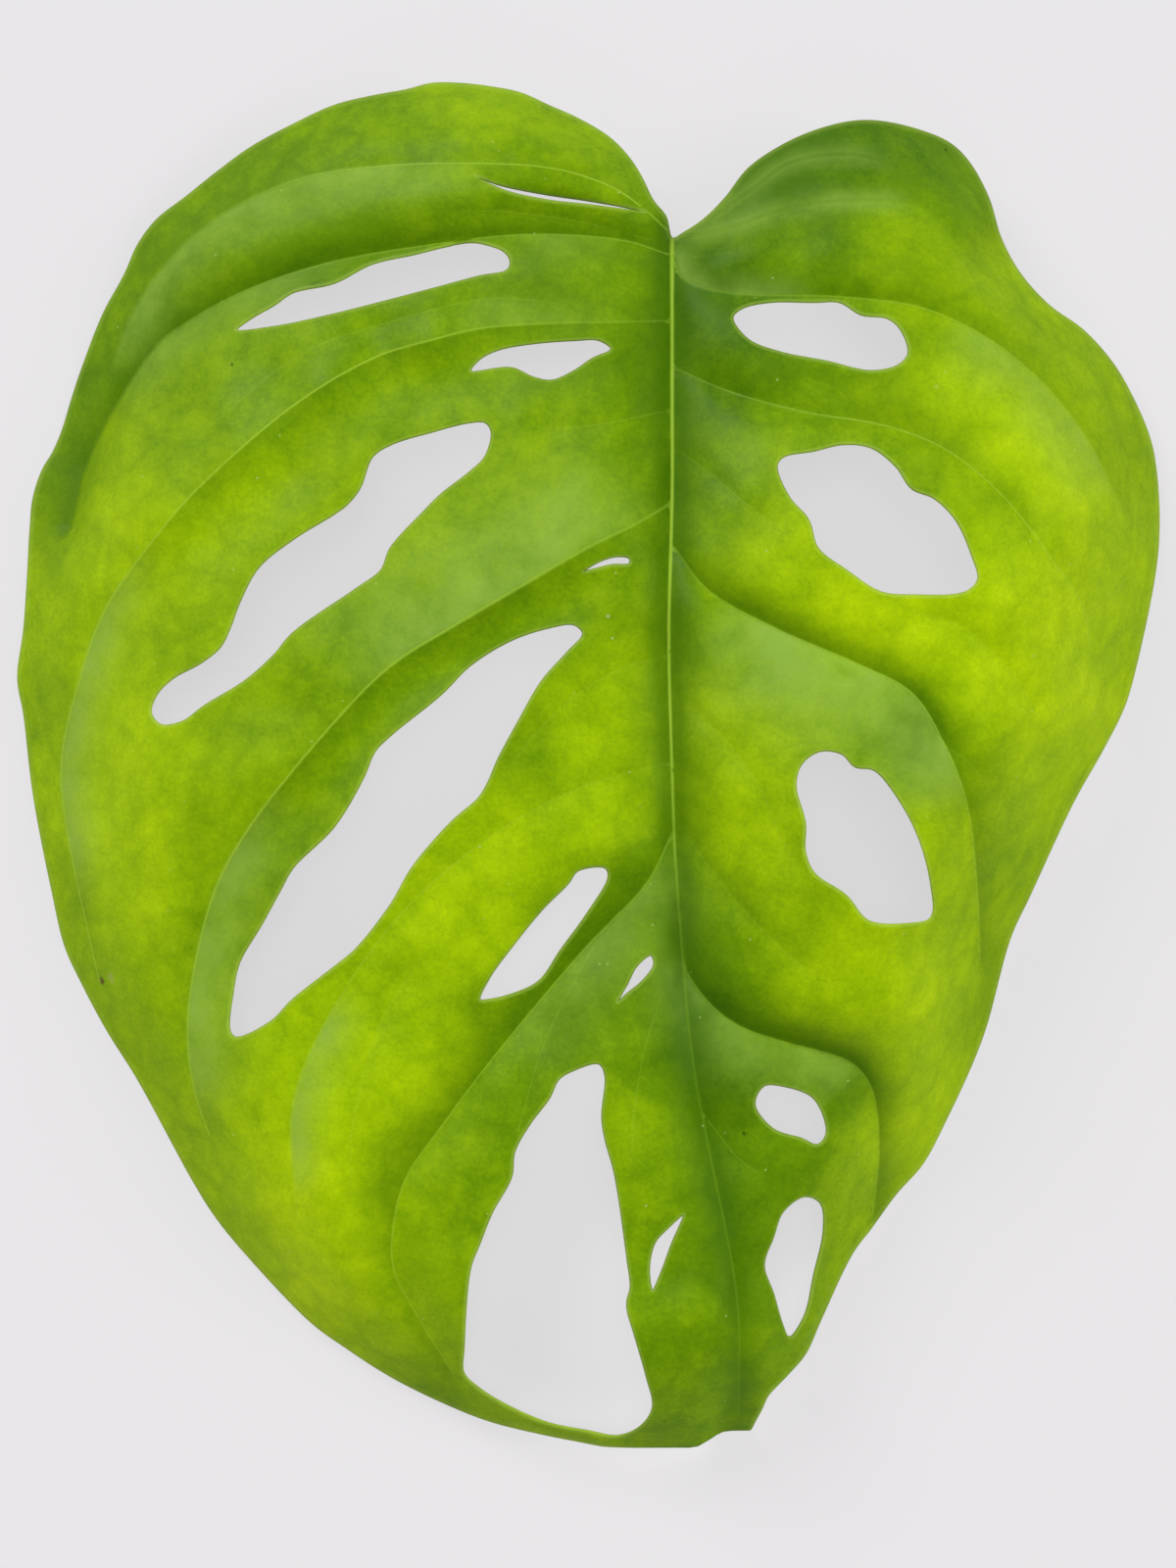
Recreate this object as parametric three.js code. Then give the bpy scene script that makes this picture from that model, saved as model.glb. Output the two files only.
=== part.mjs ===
// A leaf of the Swiss cheese vine, Monstera adansonii, picked with its stalk and laid face up.
// The blade is one thin sheet with a hole between most pairs of side veins. It is creased along
// its veins, swells between them, and rolls down at the margin, where it touches the table.
// All sizes are in millimetres: x across the blade, y from the tip towards the base, z up.
import * as THREE from "three";
import { ConvexHull } from "three/addons/math/ConvexHull.js";
import { mergeVertices } from "three/addons/utils/BufferGeometryUtils.js";

// Driving sizes. The outlines below are drawn for a blade this wide.
const drawnWidth = 180;
const bladeWidth = 180;
const bladeThickness = 0.8;
const stalkWidth = 4.2;
const joinGap = 0.3;

// Everything drawn below grows or shrinks with the blade.
const size = bladeWidth / drawnWidth;

// Mesh spacing.
const latticeStep = 5.4;
const marginStep = 3.4;
const holeStep = 2.7;
const slitStep = 1.1;
const veinStep = 5;
const veinRowGap = 2.7;
const clearOfEdge = 2.1;
const clearOfVein = 2.5;

// The blade's margin seen from above, from the stalk round the left lobe, the tip and the
// right lobe. The stalk joins at the zero point.
const margin = [
  [0, 0], [-1, 3.5], [-3, 6], [-5, 10], [-7, 13], [-10, 16], [-15, 19], [-19.5, 21], [-24, 23],
  [-29, 24], [-33.5, 24.5], [-38, 24.5], [-42, 23.5], [-47.5, 22.5], [-53.5, 21], [-60, 18],
  [-66.5, 14.5], [-72, 10.5], [-77, 6.5], [-81.5, 3], [-84.5, -1], [-86.5, -5.5], [-90, -12],
  [-93.5, -21], [-95, -25.5], [-96.5, -30.5], [-98, -34], [-99.5, -36.5], [-101, -41],
  [-101.5, -46], [-102.5, -61.5], [-103.5, -69.5], [-102.5, -75.5], [-101, -88], [-98, -103.5],
  [-96, -112], [-93.5, -117.5], [-89.5, -125], [-84.5, -133], [-75.5, -149.5], [-72, -155],
  [-67.5, -160.5], [-57, -171.5], [-51.5, -175.5], [-44.5, -180], [-36.5, -184], [-29, -187],
  [-21, -189], [-13.5, -190.5], [-8.5, -191.5], [-4, -192.5], [2, -194], [7, -196.5],
  [9.5, -198.5], [10.5, -195.5], [11.5, -191.5], [12.8, -187.7], [14, -185.5], [15.2, -183],
  [18, -180], [21, -176.5],
  [23.5, -171], [28.5, -160.5], [31.5, -156.5], [35.5, -151], [39.5, -146.5], [43, -140],
  [49, -126.5], [53.5, -110.5], [56.5, -104], [63.5, -89], [68, -81], [71.5, -74], [73.5, -67],
  [76.5, -52], [77, -44.5], [76.5, -36.5], [75.5, -31.5], [72.5, -24.5], [69.5, -19.5],
  [65, -14.5], [59.5, -10.5], [55, -5.5], [52, 0], [50, 6.5], [47, 12], [44, 15], [39.5, 17],
  [33, 18.5], [28.5, 18.5], [22.5, 17], [17, 14.5], [12, 11], [8.5, 6.5], [5, 3], [2, 1],
];

// The holes, from the stalk to the tip: first those left of the midrib, then those right of it.
const wideHoles = [
  [
    [-69, -14.5], [-66.5, -12.5], [-63, -10.5], [-60, -8.5], [-53.5, -7], [-47.5, -4], [-41, -2.5],
    [-32, -0.5], [-29, -1], [-26.5, -2], [-25.5, -3.5], [-26, -5], [-30.5, -6], [-38, -8],
    [-53.5, -12], [-63, -14],
  ],
  [
    [-32, -21], [-30.5, -19], [-27.5, -17.5], [-22, -16.5], [-15.5, -16], [-11.5, -16],
    [-9.5, -17.5], [-12.5, -19], [-15.5, -21], [-19, -22.5], [-22, -22], [-25.5, -20.5],
  ],
  [
    [-28.5, -30.5], [-29.5, -34.5], [-32, -37], [-36.5, -40.5], [-39.5, -43.5], [-44.5, -49],
    [-46, -52.5], [-50, -55.5], [-60, -62.5], [-63, -66], [-67.5, -70], [-74, -74],
    [-77.5, -76.5], [-81, -77], [-82.5, -75], [-81.5, -72], [-79, -69.5], [-74.5, -67],
    [-71.5, -64.5], [-70, -61.5], [-68.5, -57.5], [-65.5, -52], [-60, -47.5], [-53.5, -43.5],
    [-51.5, -42], [-49.5, -39.5], [-47.5, -34.5], [-44.5, -32.5], [-38, -30.5], [-32, -29],
    [-29.5, -29],
  ],
  [
    [-14, -62.5], [-15.5, -61], [-19.5, -61.5], [-25.5, -63.5], [-32, -67.5], [-36.5, -72],
    [-44.5, -78.5], [-47, -81], [-49, -85.5], [-53.5, -93], [-60, -99.5], [-62, -103],
    [-65, -108.5], [-68.5, -114.5], [-69.5, -119], [-70, -125.5], [-69, -126.5], [-63.5, -124],
    [-60, -120.5], [-53, -115], [-50, -112.5], [-44.5, -105.5], [-41, -99.5], [-35, -92.5],
    [-30.5, -88.5], [-29, -86], [-27.5, -82.5], [-24, -76], [-20.5, -70], [-16.5, -65.5],
  ],
  [
    [-30.5, -120.5], [-29, -117], [-25, -111.5], [-20.5, -106], [-16.5, -102], [-15, -100],
    [-10.5, -99.5], [-10, -101], [-13.5, -107], [-17.5, -112.5], [-21, -117.5], [-25, -119.5],
    [-29, -120.5],
  ],
  [
    [-10.5, -132.5], [-11.5, -130.5], [-15.5, -131.5], [-18, -133], [-19.5, -136], [-22.5, -140],
    [-25, -144.5], [-25.5, -148.5], [-28.5, -154], [-30.5, -159], [-32, -163], [-33, -175.5],
    [-33, -179.5], [-30.5, -182], [-25.5, -185], [-19.5, -187.5], [-13.5, -188.7], [-8.5, -189.5],
    [-5, -188], [-3, -185], [-4, -180], [-6, -173], [-7, -169.5], [-7, -168], [-6.5, -166],
    [-7, -161.5], [-9, -148], [-10.5, -142.5], [-11, -139],
  ],
  [
    [9.5, -12.5], [11, -11], [15.5, -10], [22.5, -10], [26.5, -10], [30, -12], [34, -12.5],
    [36, -14], [37.5, -18], [36, -20], [31.5, -21], [24.5, -19.5], [17, -18], [12, -16],
  ],
  [
    [16.5, -36], [17.5, -34.5], [22.5, -33.5], [27, -32.5], [31.5, -33], [35.5, -36],
    [38, -39.5], [41.5, -41], [45, -44.5], [47.5, -50], [48.5, -54], [46.5, -56], [38.5, -56.5],
    [33, -56], [27.5, -52.5], [23, -49], [21.5, -44.5], [18.5, -41],
  ],
  [
    [19.5, -86.5], [20.5, -83], [23.5, -81], [27, -81.5], [29, -83.5], [32, -84], [35.5, -88],
    [39, -94.5], [41, -102], [41, -107.5], [37, -108.5], [31, -108], [27.5, -104],
    [22.5, -100.5], [21, -97], [21, -92.5],
  ],
  [
    [13, -137], [14.5, -134], [17.5, -134], [22.5, -136], [24.5, -141.5], [23, -143.5],
    [20.5, -142.5], [16, -141],
  ],
  [
    [21, -151.5], [17.5, -154], [16, -158], [14.5, -162.5], [16, -167], [17.5, -172],
    [18.5, -174], [21, -170.5], [22.5, -164], [24, -157], [23.5, -152.5],
  ],
];

// Slits close to the midrib. The first is the lens of the left lobe, half shut by a flap.
const slits = [
  [
    [-31.3, 10], [-29.1, 8.7], [-25.7, 7.3], [-19.5, 6], [-13.3, 5.3], [-7.1, 4.5], [-4.2, 4.2],
    [-7.1, 5], [-13.3, 6.1], [-19.5, 7], [-27.3, 8.6],
  ],
  [[-14.1, -52.7], [-11.5, -51], [-8.7, -50.2], [-6.7, -50.5], [-6.7, -51.5], [-9.5, -51.7]],
  [
    [-8.7, -120.9], [-7.1, -117.8], [-5.6, -115], [-3.3, -113.3], [-2.8, -114.9], [-4.6, -117.5],
    [-7, -119.5],
  ],
  [
    [1.9, -154.4], [-0.9, -156.7], [-2.8, -158.9], [-3.7, -163.1], [-3.1, -166.6],
    [-1.7, -163.8], [0, -159.2],
  ],
];

// The veins: a crease of this depth, which fades over these widths towards base and tip, what
// part of the depth is left at its end, and a rib on the back. Past some veins the sheet falls.
const veins = [
  {
    name: "midrib", depth: 4, toBase: 7, toTip: 7, tail: 0.5, keel: 1.3,
    line: [[0, 0], [0, -24.5], [0, -40], [-0.5, -63], [0, -83], [0.5, -97], [1.5, -111],
      [2.5, -123.5], [4, -134.5], [6, -145], [8, -154.5], [9.5, -162.5], [10.5, -171.5],
      [10.5, -185.5]],
  },
  {
    name: "left 1", depth: 2, toBase: 6, toTip: 4, tail: 0.5, keel: 0.3,
    line: [[-0.5, 1], [-5, 5], [-9.5, 8], [-16.5, 10.5], [-22.5, 11.5], [-44.5, 11.5], [-60, 9],
      [-75.5, 0.5], [-84.5, -10.5], [-90, -24.5], [-94, -35]],
  },
  {
    name: "left 2", depth: 4, toBase: 4.5, toTip: 4, tail: 1.5, keel: 0.5,
    line: [[-1, -2.5], [-7, -0.5], [-16.5, 0.5], [-25.5, 0.5], [-38, -1], [-50.5, -3], [-60, -5.5],
      [-69, -9], [-77, -13.5], [-81, -16.5], [-87.5, -26], [-92.5, -36], [-95, -46]],
  },
  {
    name: "left 3", depth: 1.2, toBase: 6, toTip: 2.5, tail: 0.7, keel: 0.5, fall: 2.2,
    line: [[-0.5, -13], [-29, -14], [-38, -16], [-47.5, -19], [-60, -26.5], [-75.5, -40],
      [-81.5, -47], [-89.5, -58.5], [-94, -71], [-96.5, -83], [-95.5, -94], [-90.5, -117.5]],
  },
  {
    name: "left 4", depth: 1.2, toBase: 6, toTip: 2.5, tail: 0.8, keel: 0.6, fall: 3.2,
    line: [[-0.5, -42], [-5.5, -45], [-13.5, -49], [-24, -55], [-35, -61.5], [-44.5, -67.5],
      [-53.5, -76.5], [-67.5, -94], [-73, -105], [-76.5, -123.5], [-75.5, -134.5], [-73, -142]],
  },
  {
    name: "left 5", depth: 1.2, toBase: 6, toTip: 6, tail: 0.7, keel: 0.3,
    line: [[-0.5, -83], [-13.5, -86.5], [-25.5, -92.5], [-38, -102], [-47.5, -112.5],
      [-57.5, -129.5], [-60, -138.5], [-59, -157]],
  },
  {
    name: "left 6", depth: 4.5, toBase: 6, toTip: 8, tail: 0.8, keel: 0.6,
    line: [[0, -94], [-4, -102], [-13.5, -112], [-29, -130.5], [-36.5, -140.5], [-42, -148.5],
      [-44, -155.5], [-44, -163], [-39.5, -171.5], [-34.5, -179.5]],
  },
  {
    name: "right 1", depth: 1.5, toBase: 5, toTip: 5, tail: 0.4, keel: 0.3,
    line: [[0.5, 0.5], [7.5, 4], [13, 8], [19, 12], [30, 13], [41, 8], [48.5, -1]],
  },
  {
    name: "right 2", depth: 2, toBase: 4, toTip: 6, tail: 0.5, keel: 0.3,
    line: [[1, 0], [8.5, 1.5], [17.5, 4.5], [28.5, 6], [39.5, 4.5], [48.5, -5.5], [58, -15]],
  },
  {
    name: "right 3", depth: 3, toBase: 4, toTip: 6, tail: 0.6, keel: 0.5,
    line: [[0.5, -3], [2, -6.5], [8.5, -8.5], [27, -9.3], [39.5, -11], [50, -16], [58.5, -23],
      [65.5, -32], [71, -43]],
  },
  {
    name: "right 4", depth: 3, toBase: 7, toTip: 4, tail: 0.5, keel: 0.5,
    line: [[0.5, -20.5], [8.5, -24], [21, -27.5], [33, -29.5], [42.5, -33], [52, -40.5],
      [60.5, -51.5], [65, -58.5], [66, -67.5]],
  },
  {
    name: "right 5", depth: 3.5, toBase: 3.5, toTip: 7, tail: 0.8, keel: 0.6,
    line: [[0.5, -49], [5.5, -55.5], [16, -61.5], [28.5, -67], [38, -72], [43, -80],
      [46.5, -89.5], [48, -102], [48.5, -114]],
  },
  {
    name: "right 6", depth: 4.5, toBase: 3.5, toTip: 7, tail: 0.8, keel: 0.6,
    line: [[1, -106.5], [2.5, -116], [7, -122], [11.5, -125], [17.5, -127], [28.5, -130.5],
      [31.5, -134.5], [32.5, -143.5], [31.5, -154.5]],
  },
];

// How high the blade stands over the table between its creases: x, y, height.
const crests = [
  [-32, 25, 15], [-20, 21, 16], [-7, 13, 20], [-42, 24, 14], [-60, 18, 13], [-72, 11, 11],
  [-85, -1, 8], [-90, -12, 6], [-32, 18, 21], [-20, 14, 23], [-7, 7, 25], [-47, 16, 20],
  [-60, 10, 18], [-47, 5, 23], [-63, 0, 21], [-75, -3, 16], [-82, -9, 12], [-13, -7, 27],
  [-32, -9, 26], [-47, -15, 25], [-63, -21, 23], [-75, -29, 20], [-85, -35, 16], [-91, -40, 12],
  [-97, -43, 7], [-102, -46, 4], [-10, -29, 30], [-23, -40, 30], [-41, -27, 27], [-60, -38, 26],
  [-72, -49, 24], [-80, -58, 21], [-91, -71, 14], [-97, -68, 9], [-103, -69, 4], [-44, -58, 29],
  [-60, -74, 27], [-75, -86, 23], [-88, -94, 15], [-94, -102, 9], [-99, -100, 5], [-13, -79, 31],
  [-23, -94, 30], [-38, -110, 27], [-54, -127, 24], [-66, -137, 20], [-78, -133, 13],
  [-86, -131, 6], [-76, -149, 5], [-55, -145, 23], [-63, -153, 16], [-54, -164, 16],
  [-61, -167, 7], [-44, -180, 11], [-10, -127, 27], [-7, -145, 26], [-1, -164, 25],
  [-7, -179, 26], [2, -179, 27], [-35, -156, 22], [-38, -168, 20], [-32, -185, 18], [8, 7, 25],
  [18, 14, 21], [29, 19, 17], [39, 17, 14], [47, 12, 12], [21, 2, 27], [33, 7, 25], [36, -3, 28],
  [49, 2, 20], [52, 0, 15], [55, -13, 26], [65, -15, 13], [27, -24, 32], [42, -24, 33],
  [56, -27, 30], [67, -27, 20], [75, -31, 8], [11, -40, 33], [52, -55, 37], [61, -48, 33],
  [70, -49, 21], [77, -49, 5], [11, -71, 34], [30, -63, 36], [42, -68, 37], [56, -71, 32],
  [66, -74, 19], [72, -73, 4], [11, -102, 32], [33, -111, 34], [44, -99, 34], [53, -89, 27],
  [60, -97, 9], [30, -122, 31], [42, -120, 24], [51, -118, 5], [24, -134, 27], [38, -136, 18],
  [45, -137, 4], [11, -142, 26], [27, -148, 21], [36, -150, 7], [13, -164, 25], [25, -167, 13],
  [11, -179, 27], [20, -178, 19], [0, 0, 26], [0, -24, 29], [0, -40, 31], [0, -63, 33],
  [0, -86, 32], [1, -102, 31], [2, -117, 29], [4, -133, 28], [8, -148, 27], [10, -161, 27],
  [10, -176, 28], [-38, -16, 28], [-54, -23, 27.5], [-68, -33, 26], [-80, -45, 22.5],
  [-9, -46, 34], [-20, -52, 33.5], [-32, -59, 32.5], [-45, -68, 31], [-57, -81, 28.5],
  [-67, -93, 25.5],
];

// The bottom of a crease is this round, and its depth starts to fade this far along the vein.
const creaseRound = 0.7;
const tailStart = 0.55;

// A fall is deepest this far from its vein. It starts and ends smoothly along the vein.
const fallWidth = 5.5;
const fallStarts = 0.02;
const fallFull = 0.2;
const fallFades = 0.75;

// Right beside the midrib the sheet dips again, less so towards the tip.
const gutterDepth = 1.3;
const gutterWidth = 1.8;
const gutterRound = 0.3;
const gutterLoss = 0.6;

// The ribs on the back: half their width, and how much of their depth is lost along the vein.
const keelWidth = 1.4;
const keelLoss = 0.8;

// The margin rolls down by this much over this width, but not close to the tip.
const rollDepth = 4;
const rollWidth = 9;
const rollStarts = 12;
const rollFull = 24;

// Past its last side vein the blade droops over a wide arc, and the tip curls under.
const droopRadius = 24;
const droopReach = 23;
const curlRadius = 4;
const tipEdgeLeft = -191;
const tipEdgeRight = -188.3;
const tipStepLeft = 3;
const tipStepRight = 9;
const tipX = 4;
const tipY = -190;

// The flap of the left lobe's lens is bent down from vein "left 1".
const flapDepth = 3.2;
const flapLeft = -31.5;
const flapRight = -4;
const flapReach = 5;

// The outlines are drawn as an eye this high over the crest sees them, straight above this
// point. What lies lower than the crest really stands further out.
const eyeHeight = 586;
const eyeLevel = 27;
const eyeX = -13.3;
const eyeY = -86.3;

// Margin and tip settle on the table with this much give.
const tableGive = 1;

// ---------------------------------------------------------------------------------------------
// Curves and distances in the plane
// ---------------------------------------------------------------------------------------------

function throughPoints(points, closed) {
  const knots = points.map(([x, y]) => new THREE.Vector3(x, y, 0));
  return new THREE.CatmullRomCurve3(knots, closed, "centripetal");
}

function evenPoints(points, closed, step) {
  const curve = throughPoints(points, closed);
  curve.arcLengthDivisions = 20 * points.length;
  const count = Math.max(8, Math.round(curve.getLength() / step));
  const placed = curve.getSpacedPoints(count);
  if (closed) {
    placed.pop();
  }
  return placed.map((point) => new THREE.Vector2(point.x, point.y));
}

function isInside(x, y, ring) {
  let inside = false;
  for (let i = 0; i < ring.length; i += 1) {
    const a = ring[i];
    const b = ring[(i + 1) % ring.length];
    const crosses = a.y > y !== b.y > y;
    if (crosses && x < a.x + ((b.x - a.x) * (y - a.y)) / (b.y - a.y)) {
      inside = !inside;
    }
  }
  return inside;
}

function nearest(x, y, line, closed) {
  const best = { distance: Infinity, along: 0, side: 1 };
  const pieces = closed ? line.length : line.length - 1;
  for (let i = 0; i < pieces; i += 1) {
    const a = line[i];
    const b = line[(i + 1) % line.length];
    const dx = b.x - a.x;
    const dy = b.y - a.y;
    const raw = ((x - a.x) * dx + (y - a.y) * dy) / (dx * dx + dy * dy);
    const t = THREE.MathUtils.clamp(raw, 0, 1);
    const distance = Math.hypot(x - a.x - t * dx, y - a.y - t * dy);
    if (distance < best.distance) {
      best.distance = distance;
      best.along = (i + t) / pieces;
      best.side = Math.sign(dx * (y - a.y) - dy * (x - a.x)) || 1;
    }
  }
  return best;
}

// ---------------------------------------------------------------------------------------------
// The shape of the blade
// ---------------------------------------------------------------------------------------------

const marginRing = evenPoints(margin, true, marginStep);
const holeRings = wideHoles.map((hole) => evenPoints(hole, true, holeStep));
const slitRings = slits.map((slit) => evenPoints(slit, true, slitStep));
const veinLines = veins.map((vein) => evenPoints(vein.line, false, veinStep));
const outline = new THREE.Box2().setFromPoints(marginRing);

function plateTerm(distance) {
  return distance > 0 ? distance * distance * Math.log(distance) : 0;
}

// The smoothest plate through the crests: its weights come from one set of linear equations.
function solvePlate(points) {
  const count = points.length;
  const order = count + 3;
  const rows = [];
  for (let i = 0; i < order; i += 1) {
    rows.push(new Array(order + 1).fill(0));
  }
  for (let i = 0; i < count; i += 1) {
    const [x, y, z] = points[i];
    for (let j = 0; j < count; j += 1) {
      rows[i][j] = plateTerm(Math.hypot(x - points[j][0], y - points[j][1]));
    }
    [1, x, y].forEach((value, k) => {
      rows[i][count + k] = value;
      rows[count + k][i] = value;
    });
    rows[i][order] = z;
  }
  for (let column = 0; column < order; column += 1) {
    let pivot = column;
    for (let i = column + 1; i < order; i += 1) {
      if (Math.abs(rows[i][column]) > Math.abs(rows[pivot][column])) {
        pivot = i;
      }
    }
    [rows[column], rows[pivot]] = [rows[pivot], rows[column]];
    for (let i = 0; i < order; i += 1) {
      const factor = i === column ? 0 : rows[i][column] / rows[column][column];
      for (let j = column; j <= order && factor !== 0; j += 1) {
        rows[i][j] -= factor * rows[column][j];
      }
    }
  }
  return rows.map((row, i) => row[order] / row[i]);
}

const plate = solvePlate(crests);

function plateHeight(x, y) {
  const count = crests.length;
  let z = plate[count] + plate[count + 1] * x + plate[count + 2] * y;
  for (let i = 0; i < count; i += 1) {
    z += plate[i] * plateTerm(Math.hypot(x - crests[i][0], y - crests[i][1]));
  }
  return z;
}

// Side veins run outwards, so which of their sides faces the base depends on their lobe.
function isTowardsBase(line, near) {
  return near.side * Math.sign(line[line.length - 1].x) > 0;
}

// Creases merge where veins meet, so the deepest one rules.
function creaseDepth(x, y) {
  let sum = 0;
  veins.forEach((vein, i) => {
    const line = veinLines[i];
    const near = nearest(x, y, line, false);
    const width = isTowardsBase(line, near) ? vein.toBase : vein.toTip;
    const fade = 1 - (1 - vein.tail) * THREE.MathUtils.smoothstep(near.along, tailStart, 1);
    const away = Math.hypot(near.distance, creaseRound) - creaseRound;
    sum += (vein.depth * fade * Math.exp(-away / width)) ** 4;
  });
  return sum ** 0.25;
}

function gutterAt(x, y) {
  const near = nearest(x, y, veinLines[0], false);
  const away = Math.hypot(near.distance, gutterRound);
  return gutterDepth * Math.exp(-away / gutterWidth) * (1 - gutterLoss * near.along);
}

// Past some veins, towards the tip, the sheet first falls away.
function fallDepth(x, y) {
  let sum = 0;
  veins.forEach((vein, i) => {
    const near = nearest(x, y, veinLines[i], false);
    if (!vein.fall || isTowardsBase(veinLines[i], near)) {
      return;
    }
    const starts = THREE.MathUtils.smoothstep(near.along, fallStarts, fallFull);
    const ends = 1 - THREE.MathUtils.smoothstep(near.along, fallFades, 1);
    const out = near.distance / fallWidth;
    sum += starts * ends * vein.fall * out * Math.exp((1 - out ** 2) / 2);
  });
  return sum;
}

function keelDepth(x, y) {
  let depth = 0;
  veins.forEach((vein, i) => {
    const near = nearest(x, y, veinLines[i], false);
    const fade = 1 - keelLoss * near.along;
    depth = Math.max(depth, vein.keel * fade * Math.exp(-((near.distance / keelWidth) ** 2)));
  });
  return depth;
}

function rolledDepth(x, y) {
  const inward = nearest(x, y, marginRing, true).distance / rollWidth;
  const fromTip = Math.hypot(x - tipX, y - tipY);
  const awayFromTip = THREE.MathUtils.smoothstep(fromTip, rollStarts, rollFull);
  return inward < 1 ? awayFromTip * rollDepth * (1 - inward) ** 2 : 0;
}

function flapDrop(x, y) {
  if (x < flapLeft || x > flapRight) {
    return 0;
  }
  const slitLine = slitRings[0].filter((point) => Math.abs(point.x - x) < 2);
  const slitY = slitLine.reduce((sum, point) => sum + point.y, 0) / slitLine.length;
  const above = nearest(x, y, veinLines[1], false).distance;
  if (y < slitY || y > slitY + flapReach) {
    return 0;
  }
  const bow = Math.sin((Math.PI * (x - flapLeft)) / (flapRight - flapLeft));
  const across = above / (above + y - slitY + 0.01);
  return flapDepth * bow * across;
}

function tipEdge(x) {
  const step = THREE.MathUtils.smoothstep(x, tipStepLeft, tipStepRight);
  return tipEdgeLeft + (tipEdgeRight - tipEdgeLeft) * step;
}

function heightOnPlan(x, y) {
  let z = plateHeight(x, y) - creaseDepth(x, y) - gutterAt(x, y) - fallDepth(x, y);
  z -= rolledDepth(x, y) + flapDrop(x, y);
  const past = Math.min(tipEdge(x) + droopReach - y, droopReach);
  if (past > 0) {
    z -= droopRadius - Math.sqrt(droopRadius ** 2 - past ** 2);
  }
  return (z + Math.hypot(z, tableGive)) / 2;
}

// The middle of the sheet over the plan point x, y. Past the tip's edge it curls under.
function sheetPoint(x, y) {
  const edge = tipEdge(x);
  const onPlan = Math.max(y, edge);
  let z = heightOnPlan(x, onPlan);
  let outY = onPlan;
  if (y < edge) {
    const start = Math.asin(droopReach / droopRadius);
    const angle = start + (edge - y) / curlRadius;
    outY = edge - curlRadius * (Math.sin(angle) - Math.sin(start));
    z -= curlRadius * (Math.cos(start) - Math.cos(angle));
  }
  const spread = 1 + (eyeLevel - z) / eyeHeight;
  return new THREE.Vector3(eyeX + (x - eyeX) * spread, eyeY + (outY - eyeY) * spread, z);
}

function sheetNormal(x, y) {
  const reach = 0.35;
  const alongX = sheetPoint(x + reach, y).sub(sheetPoint(x - reach, y));
  const alongY = sheetPoint(x, y + reach).sub(sheetPoint(x, y - reach));
  return alongX.cross(alongY).normalize();
}

// ---------------------------------------------------------------------------------------------
// The blade as a closed sheet
// ---------------------------------------------------------------------------------------------

// The same line, moved sideways.
function besideLine(line, gap) {
  return line.map((point, i) => {
    const before = line[Math.max(i - 1, 0)];
    const after = line[Math.min(i + 1, line.length - 1)];
    const heading = after.clone().sub(before).normalize();
    return new THREE.Vector2(point.x - heading.y * gap, point.y + heading.x * gap);
  });
}

function farFrom(point, others, distance) {
  return others.every((other) => other.distanceTo(point) > distance);
}

function planPoints() {
  const rings = [marginRing, ...holeRings, ...slitRings];
  const edge = rings.flat();
  const points = [...edge];
  const onBlade = (point) => isInside(point.x, point.y, marginRing)
    && [...holeRings, ...slitRings].every((ring) => !isInside(point.x, point.y, ring));
  const alongVeins = [];
  [0, veinRowGap, -veinRowGap].forEach((gap) => {
    veinLines.flatMap((line) => besideLine(line, gap)).forEach((point) => {
      const free = farFrom(point, edge, clearOfEdge) && farFrom(point, alongVeins, clearOfVein);
      if (onBlade(point) && free) {
        alongVeins.push(point);
      }
    });
  });
  points.push(...alongVeins);
  const rowStep = (latticeStep * Math.sqrt(3)) / 2;
  let row = 0;
  for (let y = outline.min.y; y < outline.max.y; y += rowStep) {
    row += 1;
    const shift = (row % 2) * (latticeStep / 2);
    for (let x = outline.min.x + shift; x < outline.max.x; x += latticeStep) {
      const point = new THREE.Vector2(x, y);
      const free = farFrom(point, edge, clearOfEdge) && farFrom(point, alongVeins, clearOfVein);
      if (free && onBlade(point)) {
        points.push(point);
      }
    }
  }
  return points;
}

// Lifted onto a paraboloid, the points' lower hull is their best triangulation.
function triangulate(points) {
  const lifted = points.map((point) => (
    new THREE.Vector3(point.x, point.y, point.lengthSq() / drawnWidth)
  ));
  const indexOf = new Map(lifted.map((point, i) => [point, i]));
  const hull = new ConvexHull().setFromPoints(lifted);
  const holes = [...holeRings, ...slitRings];
  const triangles = [];
  hull.faces.forEach((face) => {
    const corners = [face.edge, face.edge.next, face.edge.next.next];
    const [a, b, c] = corners.map((edge) => indexOf.get(edge.head().point));
    const x = (points[a].x + points[b].x + points[c].x) / 3;
    const y = (points[a].y + points[b].y + points[c].y) / 3;
    const kept = isInside(x, y, marginRing) && holes.every((ring) => !isInside(x, y, ring));
    if (face.normal.z < 0 && kept) {
      triangles.push([a, c, b]);
    }
  });
  return triangles;
}

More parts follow.
